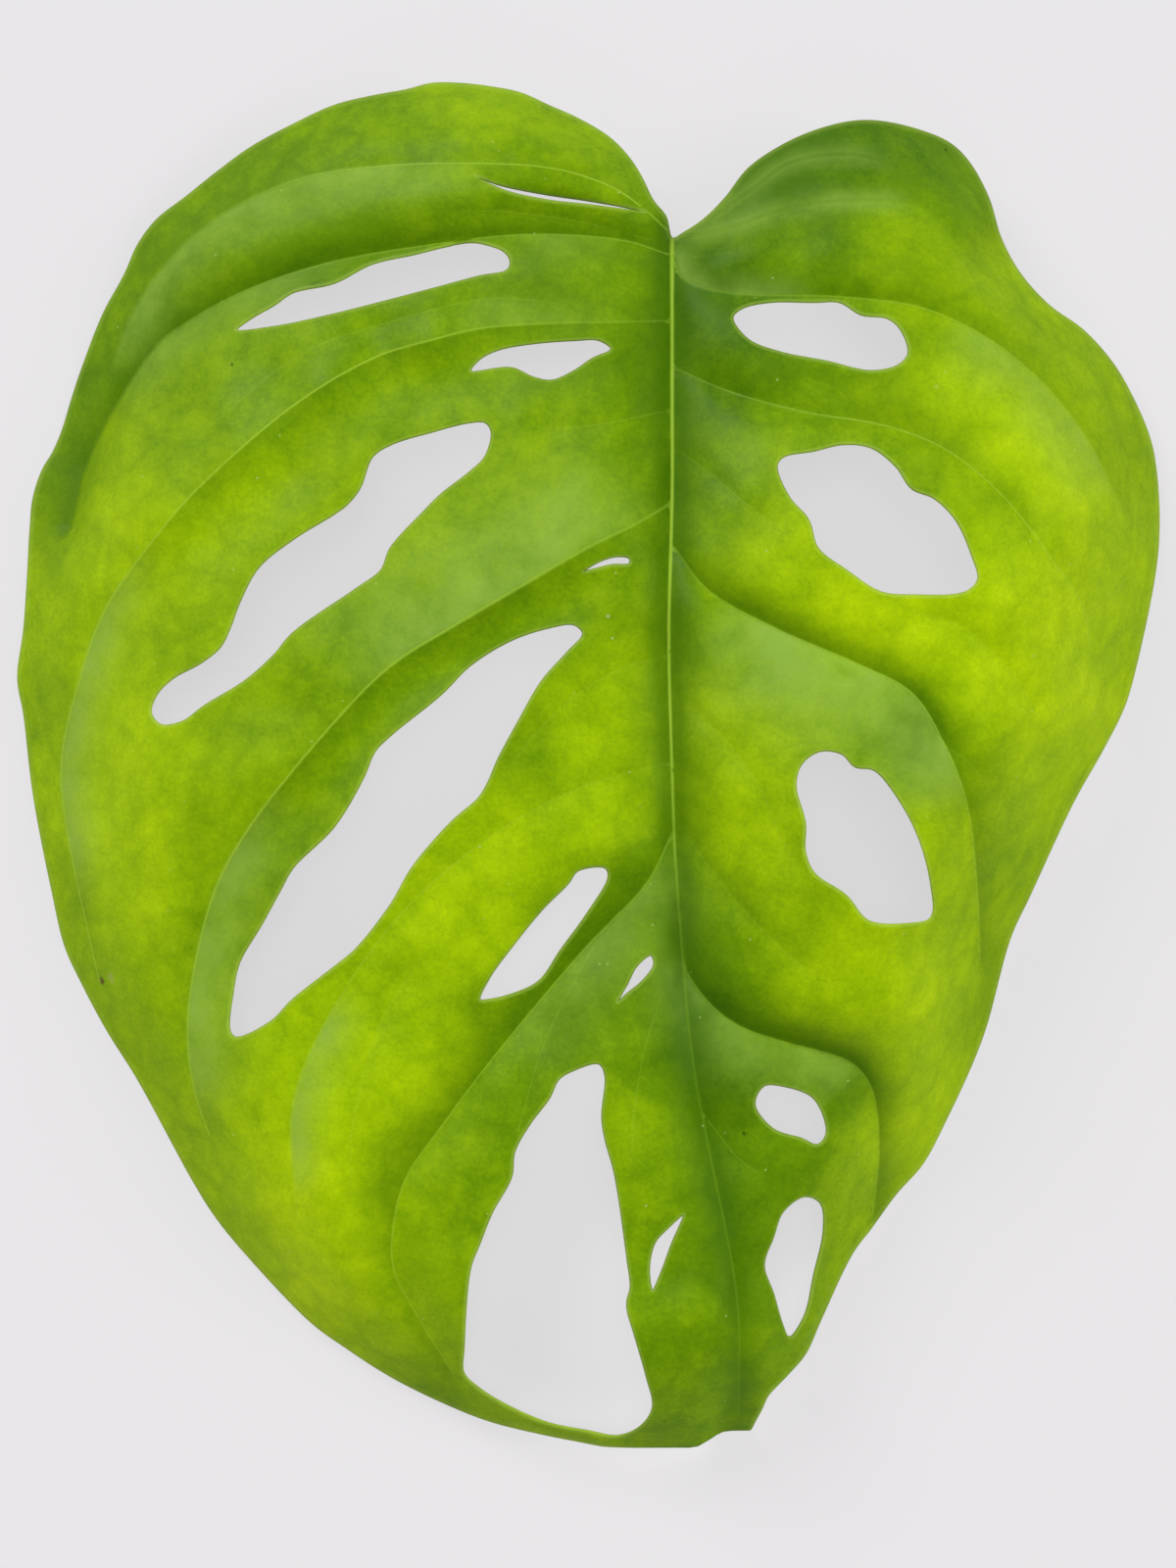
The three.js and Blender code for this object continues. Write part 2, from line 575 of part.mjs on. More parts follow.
function bladeGeometry() {
  const plan = planPoints();
  const triangles = triangulate(plan);
  const tops = [];
  const bottoms = [];
  plan.forEach(({ x, y }) => {
    const middle = sheetPoint(x, y);
    const normal = sheetNormal(x, y);
    const below = bladeThickness / 2 + keelDepth(x, y);
    tops.push(middle.clone().addScaledVector(normal, bladeThickness / 2));
    bottoms.push(middle.clone().addScaledVector(normal, -below));
  });
  const under = plan.length;
  const faces = [];
  const open = new Map();
  triangles.forEach(([a, b, c]) => {
    faces.push(a, b, c, under + a, under + c, under + b);
    [[a, b], [b, c], [c, a]].forEach(([from, to]) => {
      if (!open.delete(`${to} ${from}`)) {
        open.set(`${from} ${to}`, [from, to]);
      }
    });
  });
  open.forEach(([from, to]) => {
    faces.push(from, under + from, under + to, from, under + to, to);
  });
  const corners = [...tops, ...bottoms].map((point) => point.multiplyScalar(size));
  const geometry = new THREE.BufferGeometry().setFromPoints(corners);
  geometry.setIndex(faces);
  geometry.computeVertexNormals();
  return geometry;
}

// ---------------------------------------------------------------------------------------------
// The stalk
// ---------------------------------------------------------------------------------------------

// It leaves the underside at the end of the midrib, bends back through a slightly swollen
// joint, and lies under the blade with its grooved side on the table.
const stalkRest = stalkWidth * 0.5;
const stalkStartY = -3.4;
const jointLength = 17;
const jointSwell = 1.22;
const stalkSteps = 72;

// Half-widths of the stalk's section: a round back, and two low wings beside a groove.
const stalkSection = [
  [0, -1], [0.62, -0.78], [0.96, -0.28], [0.97, 0.3], [0.74, 0.78], [0.46, 0.95], [0.2, 0.6],
  [-0.2, 0.6], [-0.46, 0.95], [-0.74, 0.78], [-0.97, 0.3], [-0.96, -0.28], [-0.62, -0.78],
];

function underside(x, y) {
  return sheetPoint(x, y).z - (bladeThickness / 2 + keelDepth(x, y)) / sheetNormal(x, y).z;
}

const lowestAbove = Math.min(...stalkSection.map(([side, up]) => (
  underside(side * stalkRest, stalkStartY + up * stalkRest)
)));
const stalkTop = Math.min(lowestAbove, underside(0, stalkStartY)) - joinGap;
const stalkLine = [
  [0, stalkStartY, stalkTop],
  [0, stalkStartY + 0.1, stalkTop - 3.5],
  [0, stalkStartY - 0.2, stalkTop - 8],
  [0.2, stalkStartY - 3, stalkTop - 12.6],
  [0.6, -12, stalkRest + 2],
  [1.2, -20, stalkRest + 0.5],
  [2, -32, stalkRest + 0.05],
  [3, -60, stalkRest],
  [3.6, -90, stalkRest],
  [4, -120, stalkRest],
  [5, -146, stalkRest + 0.1],
];

function stalkGeometry() {
  const knots = stalkLine.map(([x, y, z]) => new THREE.Vector3(x, y, z));
  const path = new THREE.CatmullRomCurve3(knots, false, "centripetal");
  path.arcLengthDivisions = 400;
  const corners = stalkSection.map(([side, up]) => (
    new THREE.Vector2(side * stalkRest, up * stalkRest)
  ));
  const tube = new THREE.ExtrudeGeometry(new THREE.Shape(corners), {
    steps: stalkSteps, extrudePath: path, bevelEnabled: false,
  });
  tube.deleteAttribute("normal");
  tube.deleteAttribute("uv");

  // The joint at the top is thicker, and its groove is filled.
  const centres = path.getSpacedPoints(stalkSteps);
  const places = tube.getAttribute("position");
  for (let i = 0; i < places.count; i += 1) {
    const point = new THREE.Vector3().fromBufferAttribute(places, i);
    const distances = centres.map((centre) => centre.distanceToSquared(point));
    const ring = distances.indexOf(Math.min(...distances));
    const inJoint = Math.min((ring / stalkSteps) * (path.getLength() / jointLength), 1);
    const swell = 1 + (jointSwell - 1) * Math.sqrt(Math.sin(Math.PI * inJoint));
    const grooved = THREE.MathUtils.smoothstep(inJoint, 0.5, 1);
    const arm = point.sub(centres[ring]);
    arm.setLength(THREE.MathUtils.lerp(stalkRest, arm.length(), grooved) * swell);
    arm.add(centres[ring]).multiplyScalar(size);
    places.setXYZ(i, arm.x, arm.y, arm.z);
  }
  const closed = mergeVertices(tube);
  closed.computeVertexNormals();
  return closed;
}

// ---------------------------------------------------------------------------------------------
// The part
// ---------------------------------------------------------------------------------------------

const leafGreen = new THREE.MeshStandardMaterial({
  name: "leaf_blade", color: 0x7fae12, roughness: 0.42, metalness: 0,
});
const stalkGreen = new THREE.MeshStandardMaterial({
  name: "petiole", color: 0x8fb23c, roughness: 0.5, metalness: 0,
});

const blade = new THREE.Mesh(bladeGeometry(), leafGreen);
blade.name = "leaf_blade";
const stalk = new THREE.Mesh(stalkGeometry(), stalkGreen);
stalk.name = "petiole";

const part = new THREE.Group();
part.name = "monstera_leaf";
part.add(blade, stalk);

// The zero point is under the middle of the leaf, on the table.
const bounds = new THREE.Box3().setFromObject(part);
const middle = bounds.getCenter(new THREE.Vector3());
[blade, stalk].forEach((mesh) => {
  mesh.geometry.translate(-middle.x, -middle.y, -bounds.min.z);
});

export default part;
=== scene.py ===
# A leaf of the Swiss cheese vine, Monstera adansonii, picked with its stalk and laid face up on
# a table. It has two pieces: the blade, one thin sheet with holes in it, and the stalk below.
# Drawn sizes are in millimetres: x across the blade, y from the tip towards the base, z up.
import math

import bpy
import numpy as np
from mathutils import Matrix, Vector
from mathutils.geometry import delaunay_2d_cdt
from mathutils.noise import noise


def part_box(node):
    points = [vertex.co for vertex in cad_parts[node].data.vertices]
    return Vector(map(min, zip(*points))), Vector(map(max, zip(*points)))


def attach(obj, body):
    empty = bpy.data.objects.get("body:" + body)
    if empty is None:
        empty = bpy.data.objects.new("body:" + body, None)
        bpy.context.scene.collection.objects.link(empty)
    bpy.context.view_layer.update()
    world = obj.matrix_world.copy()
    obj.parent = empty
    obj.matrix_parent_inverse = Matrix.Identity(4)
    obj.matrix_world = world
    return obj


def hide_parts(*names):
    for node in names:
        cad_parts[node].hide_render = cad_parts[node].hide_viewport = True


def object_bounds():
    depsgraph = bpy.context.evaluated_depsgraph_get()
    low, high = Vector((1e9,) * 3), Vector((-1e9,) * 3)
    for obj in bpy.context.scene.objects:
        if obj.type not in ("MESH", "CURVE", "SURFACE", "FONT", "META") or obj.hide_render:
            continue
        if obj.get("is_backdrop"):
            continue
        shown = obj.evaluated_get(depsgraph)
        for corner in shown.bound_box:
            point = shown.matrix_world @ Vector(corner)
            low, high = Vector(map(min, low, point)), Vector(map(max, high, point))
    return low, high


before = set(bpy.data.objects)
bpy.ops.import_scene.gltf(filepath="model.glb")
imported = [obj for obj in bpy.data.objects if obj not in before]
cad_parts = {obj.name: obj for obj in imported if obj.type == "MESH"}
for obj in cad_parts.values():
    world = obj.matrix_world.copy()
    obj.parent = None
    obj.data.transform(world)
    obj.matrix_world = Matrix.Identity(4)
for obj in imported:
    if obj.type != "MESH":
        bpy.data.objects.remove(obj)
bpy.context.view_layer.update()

# ------------------------------------------------------------------------------------------------
# The blade
# A thin leathery sheet of living leaf, about 180 mm wide, that grew in one piece. Holes open
# between most pairs of side veins. It is creased along its veins and swells between them.
# ------------------------------------------------------------------------------------------------

blade_thickness = 0.45

# The margin seen from above, from the stalk round the left lobe, the tip and the right lobe.
# The stalk joins at the zero point.
margin = [
    [0, 0], [-1, 3.5], [-3, 6], [-5, 10], [-7, 13], [-10, 16], [-15, 19], [-19.5, 21], [-24, 23],
    [-29, 24], [-33.5, 24.5], [-38, 24.5], [-42, 23.5], [-47.5, 22.5], [-53.5, 21], [-60, 18],
    [-66.5, 14.5], [-72, 10.5], [-77, 6.5], [-81.5, 3], [-84.5, -1], [-86.5, -5.5], [-90, -12],
    [-93.5, -21], [-95, -25.5], [-96.5, -30.5], [-98, -34], [-99.5, -36.5], [-101, -41],
    [-101.5, -46], [-102.5, -61.5], [-103.5, -69.5], [-102.5, -75.5], [-101, -88], [-98, -103.5],
    [-96, -112], [-93.5, -117.5], [-89.5, -125], [-84.5, -133], [-75.5, -149.5], [-72, -155],
    [-67.5, -160.5], [-57, -171.5], [-51.5, -175.5], [-44.5, -180], [-36.5, -184], [-29, -187],
    [-21, -189], [-13.5, -190.5], [-8.5, -191.5], [-4, -192.5], [2, -194], [7, -196.5],
    [9.5, -198.5], [10.5, -195.5], [11.5, -191.5], [12.8, -187.7], [14, -185.5], [15.2, -183],
    [18, -180], [21, -176.5], [23.5, -171], [28.5, -160.5], [31.5, -156.5], [35.5, -151],
    [39.5, -146.5], [43, -140], [49, -126.5], [53.5, -110.5], [56.5, -104], [63.5, -89],
    [68, -81], [71.5, -74], [73.5, -67], [76.5, -52], [77, -44.5], [76.5, -36.5], [75.5, -31.5],
    [72.5, -24.5], [69.5, -19.5], [65, -14.5], [59.5, -10.5], [55, -5.5], [52, 0], [50, 6.5],
    [47, 12], [44, 15], [39.5, 17], [33, 18.5], [28.5, 18.5], [22.5, 17], [17, 14.5], [12, 11],
    [8.5, 6.5], [5, 3], [2, 1],
]

# The holes, from the stalk to the tip: first those left of the midrib, then those right of it.
wide_holes = [
    [
        [-69, -14.5], [-66.5, -12.5], [-63, -10.5], [-60, -8.5], [-53.5, -7], [-47.5, -4],
        [-41, -2.5], [-32, -0.5], [-29, -1], [-26.5, -2], [-25.5, -3.5], [-26, -5], [-30.5, -6],
        [-38, -8], [-53.5, -12], [-63, -14],
    ],
    [
        [-32, -21], [-30.5, -19], [-27.5, -17.5], [-22, -16.5], [-15.5, -16], [-11.5, -16],
        [-9.5, -17.5], [-12.5, -19], [-15.5, -21], [-19, -22.5], [-22, -22], [-25.5, -20.5],
    ],
    [
        [-28.5, -30.5], [-29.5, -34.5], [-32, -37], [-36.5, -40.5], [-39.5, -43.5], [-44.5, -49],
        [-46, -52.5], [-50, -55.5], [-60, -62.5], [-63, -66], [-67.5, -70], [-74, -74],
        [-77.5, -76.5], [-81, -77], [-82.5, -75], [-81.5, -72], [-79, -69.5], [-74.5, -67],
        [-71.5, -64.5], [-70, -61.5], [-68.5, -57.5], [-65.5, -52], [-60, -47.5], [-53.5, -43.5],
        [-51.5, -42], [-49.5, -39.5], [-47.5, -34.5], [-44.5, -32.5], [-38, -30.5], [-32, -29],
        [-29.5, -29],
    ],
    [
        [-14, -62.5], [-15.5, -61], [-19.5, -61.5], [-25.5, -63.5], [-32, -67.5], [-36.5, -72],
        [-44.5, -78.5], [-47, -81], [-49, -85.5], [-53.5, -93], [-60, -99.5], [-62, -103],
        [-65, -108.5], [-68.5, -114.5], [-69.5, -119], [-70, -125.5], [-69, -126.5], [-63.5, -124],
        [-60, -120.5], [-53, -115], [-50, -112.5], [-44.5, -105.5], [-41, -99.5], [-35, -92.5],
        [-30.5, -88.5], [-29, -86], [-27.5, -82.5], [-24, -76], [-20.5, -70], [-16.5, -65.5],
    ],
    [
        [-30.5, -120.5], [-29, -117], [-25, -111.5], [-20.5, -106], [-16.5, -102], [-15, -100],
        [-10.5, -99.5], [-10, -101], [-13.5, -107], [-17.5, -112.5], [-21, -117.5], [-25, -119.5],
        [-29, -120.5],
    ],
    [
        [-10.5, -132.5], [-11.5, -130.5], [-15.5, -131.5], [-18, -133], [-19.5, -136],
        [-22.5, -140], [-25, -144.5], [-25.5, -148.5], [-28.5, -154], [-30.5, -159], [-32, -163],
        [-33, -175.5], [-33, -179.5], [-30.5, -182], [-25.5, -185], [-19.5, -187.5],
        [-13.5, -188.7], [-8.5, -189.5], [-5, -188], [-3, -185], [-4, -180], [-6, -173],
        [-7, -169.5], [-7, -168], [-6.5, -166], [-7, -161.5], [-9, -148], [-10.5, -142.5],
        [-11, -139],
    ],
    [
        [9.5, -12.5], [11, -11], [15.5, -10], [22.5, -10], [26.5, -10], [30, -12], [34, -12.5],
        [36, -14], [37.5, -18], [36, -20], [31.5, -21], [24.5, -19.5], [17, -18], [12, -16],
    ],
    [
        [16.5, -36], [17.5, -34.5], [22.5, -33.5], [27, -32.5], [31.5, -33], [35.5, -36],
        [38, -39.5], [41.5, -41], [45, -44.5], [47.5, -50], [48.5, -54], [46.5, -56], [38.5, -56.5],
        [33, -56], [27.5, -52.5], [23, -49], [21.5, -44.5], [18.5, -41],
    ],
    [
        [19.5, -86.5], [20.5, -83], [23.5, -81], [27, -81.5], [29, -83.5], [32, -84], [35.5, -88],
        [39, -94.5], [41, -102], [41, -107.5], [37, -108.5], [31, -108], [27.5, -104],
        [22.5, -100.5], [21, -97], [21, -92.5],
    ],
    [
        [13, -137], [14.5, -134], [17.5, -134], [22.5, -136], [24.5, -141.5], [23, -143.5],
        [20.5, -142.5], [16, -141],
    ],
    [
        [21, -151.5], [17.5, -154], [16, -158], [14.5, -162.5], [16, -167], [17.5, -172],
        [18.5, -174], [21, -170.5], [22.5, -164], [24, -157], [23.5, -152.5],
    ],
]

# Slits close to the midrib. The first is the lens of the left lobe, half shut by a flap.
slits = [
    [
        [-31.3, 10], [-29.1, 8.7], [-25.7, 7.3], [-19.5, 6], [-13.3, 5.3], [-7.1, 4.5], [-4.2, 4.2],
        [-7.1, 5], [-13.3, 6.1], [-19.5, 7], [-27.3, 8.6],
    ],
    [[-14.1, -52.7], [-11.5, -51], [-8.7, -50.2], [-6.7, -50.5], [-6.7, -51.5], [-9.5, -51.7]],
    [
        [-8.7, -120.9], [-7.1, -117.8], [-5.6, -115], [-3.3, -113.3], [-2.8, -114.9],
        [-4.6, -117.5], [-7, -119.5],
    ],
    [
        [1.9, -154.4], [-0.9, -156.7], [-2.8, -158.9], [-3.7, -163.1], [-3.1, -166.6],
        [-1.7, -163.8], [0, -159.2],
    ],
]

# The veins: a crease of this depth, which fades over these widths towards base and tip, a rib
# on the back, what part of the crease's depth is left at its end, half the width of the pale
# line on the face, and how pale it is: at its base, at its end, and where that changes.
veins = [
    {
        "name": "midrib", "depth": 4, "to_base": 7, "to_tip": 7, "keel": 1.3,
        "tail": 0.5, "half_width": 0.4, "pale": (0.8, 0.1, 0.4, 0.62),
        "line": [[0, 0], [0, -24.5], [0, -40], [-0.5, -63], [0, -83], [0.5, -97], [1.5, -111],
            [2.5, -123.5], [4, -134.5], [6, -145], [8, -154.5], [9.5, -162.5], [10.5, -171.5],
            [10.5, -185.5]],
    },
    {
        "name": "left 1", "depth": 2, "to_base": 6, "to_tip": 4, "keel": 0.3,
        "tail": 0.5, "half_width": 0.12, "pale": (0.55, 0, 0.35, 0.7),
        "line": [[-0.5, 1], [-5, 5], [-9.5, 8], [-16.5, 10.5], [-22.5, 11.5], [-44.5, 11.5],
            [-60, 9], [-75.5, 0.5], [-84.5, -10.5], [-90, -24.5], [-94, -35]],
    },
    {
        "name": "left 2", "depth": 4, "to_base": 4.5, "to_tip": 4, "keel": 0.5,
        "tail": 1.5, "half_width": 0.16, "pale": (0.3, 0, 0.5, 0.8),
        "line": [[-1, -2.5], [-7, -0.5], [-16.5, 0.5], [-25.5, 0.5], [-38, -1], [-50.5, -3],
            [-60, -5.5], [-69, -9], [-77, -13.5], [-81, -16.5], [-87.5, -26], [-92.5, -36],
            [-95, -46]],
    },
    {
        "name": "left 3", "depth": 1.2, "to_base": 6, "to_tip": 2.5, "keel": 0.5,
        "tail": 0.7, "half_width": 0.18, "pale": (0.15, 0.6, 0, 0.3),
        "line": [[-0.5, -13], [-29, -14], [-38, -16], [-47.5, -19], [-60, -26.5], [-75.5, -40],
            [-81.5, -47], [-89.5, -58.5], [-94, -71], [-96.5, -83], [-95.5, -94], [-90.5, -117.5]],
    },
    {
        "name": "left 4", "depth": 1.2, "to_base": 6, "to_tip": 2.5, "keel": 0.6,
        "tail": 0.8, "half_width": 0.22, "pale": (0.3, 0.55, 0, 0.3),
        "line": [[-0.5, -42], [-5.5, -45], [-13.5, -49], [-24, -55], [-35, -61.5], [-44.5, -67.5],
            [-53.5, -76.5], [-67.5, -94], [-73, -105], [-76.5, -123.5], [-75.5, -134.5],
            [-73, -142]],
    },
    {
        "name": "left 5", "depth": 1.2, "to_base": 6, "to_tip": 6, "keel": 0.3,
        "tail": 0.7, "half_width": 0.12, "pale": (0.1, 0.35, 0, 0.5),
        "line": [[-0.5, -83], [-13.5, -86.5], [-25.5, -92.5], [-38, -102], [-47.5, -112.5],
            [-57.5, -129.5], [-60, -138.5], [-59, -157]],
    },
    {
        "name": "left 6", "depth": 4.5, "to_base": 6, "to_tip": 8, "keel": 0.6,
        "tail": 0.8, "half_width": 0.18, "pale": (0.25, 0.45, 0, 0.4),
        "line": [[0, -94], [-4, -102], [-13.5, -112], [-29, -130.5], [-36.5, -140.5], [-42, -148.5],
            [-44, -155.5], [-44, -163], [-39.5, -171.5], [-34.5, -179.5]],
    },
    {
        "name": "right 1", "depth": 1.5, "to_base": 5, "to_tip": 5, "keel": 0.3,
        "tail": 0.4, "half_width": 0.08, "pale": (0.15, 0, 0.1, 0.4),
        "line": [[0.5, 0.5], [7.5, 4], [13, 8], [19, 12], [30, 13], [41, 8], [48.5, -1]],
    },
    {
        "name": "right 2", "depth": 2, "to_base": 4, "to_tip": 6, "keel": 0.3,
        "tail": 0.5, "half_width": 0.1, "pale": (0.15, 0.1, 0, 0.4),
        "line": [[1, 0], [8.5, 1.5], [17.5, 4.5], [28.5, 6], [39.5, 4.5], [48.5, -5.5], [58, -15]],
    },
    {
        "name": "right 3", "depth": 3, "to_base": 4, "to_tip": 6, "keel": 0.5,
        "tail": 0.6, "half_width": 0.14, "pale": (0.1, 0.4, 0.1, 0.5),
        "line": [[0.5, -3], [2, -6.5], [8.5, -8.5], [27, -9.3], [39.5, -11], [50, -16], [58.5, -23],
            [65.5, -32], [71, -43]],
    },
    {
        "name": "right 4", "depth": 3, "to_base": 7, "to_tip": 4, "keel": 0.5,
        "tail": 0.5, "half_width": 0.16, "pale": (0.15, 0.5, 0, 0.4),
        "line": [[0.5, -20.5], [8.5, -24], [21, -27.5], [33, -29.5], [42.5, -33], [52, -40.5],
            [60.5, -51.5], [65, -58.5], [66, -67.5]],
    },
    {
        "name": "right 5", "depth": 3.5, "to_base": 3.5, "to_tip": 7, "keel": 0.6,
        "tail": 0.8, "half_width": 0.18, "pale": (0.15, 0.45, 0, 0.5),
        "line": [[0.5, -49], [5.5, -55.5], [16, -61.5], [28.5, -67], [38, -72], [43, -80],
            [46.5, -89.5], [48, -102], [48.5, -114]],
    },
    {
        "name": "right 6", "depth": 4.5, "to_base": 3.5, "to_tip": 7, "keel": 0.6,
        "tail": 0.8, "half_width": 0.16, "pale": (0.15, 0.4, 0, 0.6),
        "line": [[1, -106.5], [2.5, -116], [7, -122], [11.5, -125], [17.5, -127], [28.5, -130.5],
            [31.5, -134.5], [32.5, -143.5], [31.5, -154.5]],
    },
]

# How high the blade stands over the table between its creases: x, y, height.
crests = [
    [-32, 25, 15], [-20, 21, 16], [-7, 13, 20], [-42, 24, 14], [-60, 18, 13], [-72, 11, 11],
    [-85, -1, 8], [-90, -12, 6], [-32, 18, 21], [-20, 14, 23], [-7, 7, 25], [-47, 16, 20],
    [-60, 10, 18], [-47, 5, 23], [-63, 0, 21], [-75, -3, 16], [-82, -9, 12], [-13, -7, 27],
    [-32, -9, 26], [-47, -15, 25], [-63, -21, 23], [-75, -29, 20], [-85, -35, 16], [-91, -40, 12],
    [-97, -43, 7], [-102, -46, 4], [-10, -29, 30], [-23, -40, 30], [-41, -27, 27], [-60, -38, 26],
    [-72, -49, 24], [-80, -58, 21], [-91, -71, 14], [-97, -68, 9], [-103, -69, 4], [-44, -58, 29],
    [-60, -74, 27], [-75, -86, 23], [-88, -94, 15], [-94, -102, 9], [-99, -100, 5], [-13, -79, 31],
    [-23, -94, 30], [-38, -110, 27], [-54, -127, 24], [-66, -137, 20], [-78, -133, 13],
    [-86, -131, 6], [-76, -149, 5], [-55, -145, 23], [-63, -153, 16], [-54, -164, 16],
    [-61, -167, 7], [-44, -180, 11], [-10, -127, 27], [-7, -145, 26], [-1, -164, 25],
    [-7, -179, 26], [2, -179, 27], [-35, -156, 22], [-38, -168, 20], [-32, -185, 18], [8, 7, 25],
    [18, 14, 21], [29, 19, 17], [39, 17, 14], [47, 12, 12], [21, 2, 27], [33, 7, 25], [36, -3, 28],
    [49, 2, 20], [52, 0, 15], [55, -13, 26], [65, -15, 13], [27, -24, 32], [42, -24, 33],
    [56, -27, 30], [67, -27, 20], [75, -31, 8], [11, -40, 33], [52, -55, 37], [61, -48, 33],
    [70, -49, 21], [77, -49, 5], [11, -71, 34], [30, -63, 36], [42, -68, 37], [56, -71, 32],
    [66, -74, 19], [72, -73, 4], [11, -102, 32], [33, -111, 34], [44, -99, 34], [53, -89, 27],
    [60, -97, 9], [30, -122, 31], [42, -120, 24], [51, -118, 5], [24, -134, 27], [38, -136, 18],
    [45, -137, 4], [11, -142, 26], [27, -148, 21], [36, -150, 7], [13, -164, 25], [25, -167, 13],
    [11, -179, 27], [20, -178, 19], [0, 0, 26], [0, -24, 29], [0, -40, 31], [0, -63, 33],
    [0, -86, 32], [1, -102, 31], [2, -117, 29], [4, -133, 28], [8, -148, 27], [10, -161, 27],
    [10, -176, 28], [-38, -16, 28], [-54, -23, 27.5], [-68, -33, 26], [-80, -45, 22.5],
    [-9, -46, 34], [-20, -52, 33.5], [-32, -59, 32.5], [-45, -68, 31], [-57, -81, 28.5],
    [-67, -93, 25.5],
]

# Creases that are too fine to bend the sheet much: a line, and how deep they are.
fine_veins = [
    (0.9, [[-1.7, -0.6], [-9, 1.4], [-16.2, 3], [-28.2, 4.4], [-38, 4]]),
    (0.5, [[0, -27], [-9, -29], [-18, -30], [-25, -29.5]]),
    (0.4, [[-0.5, -66], [-8, -68], [-16, -73], [-23, -80], [-29, -89]]),
    (0.8, [[-38, -112], [-45, -122], [-49, -133], [-51, -145], [-49.5, -158]]),
    (0.6, [[-86, -66], [-88.5, -80], [-89, -95], [-89.5, -108], [-88.5, -118]]),
    (0.4, [[-13, -11], [-28, -9.5], [-42, -12.5], [-58, -18], [-72, -29], [-80, -37]]),
    (0.4, [[0.5, -33], [7, -38], [13, -43], [19, -47]]),
    (0.6, [[0.5, -72], [8, -79], [14, -87], [18, -96], [24, -104]]),
    (0.5, [[1, -92], [7, -101], [14, -109], [22, -116], [32, -120]]),
    (0.8, [[37, -59], [45, -61], [52, -67], [57, -74], [60, -84]]),
    (0.6, [[40, -78], [47, -83], [53, -91]]),
    (0.7, [[35, -110], [40, -114], [44, -120], [46, -127]]),
    (0.4, [[-1, -118], [-4, -127], [-6, -138], [-6.5, -150]]),
    (0.4, [[4, -137], [11, -146], [16, -149]]),
    (0.4, [[-7, -104], [-14, -115], [-20, -127], [-24, -140], [-27, -152]]),
    (0.5, [[58, -14], [66, -24], [72, -36], [73.5, -50]]),
]

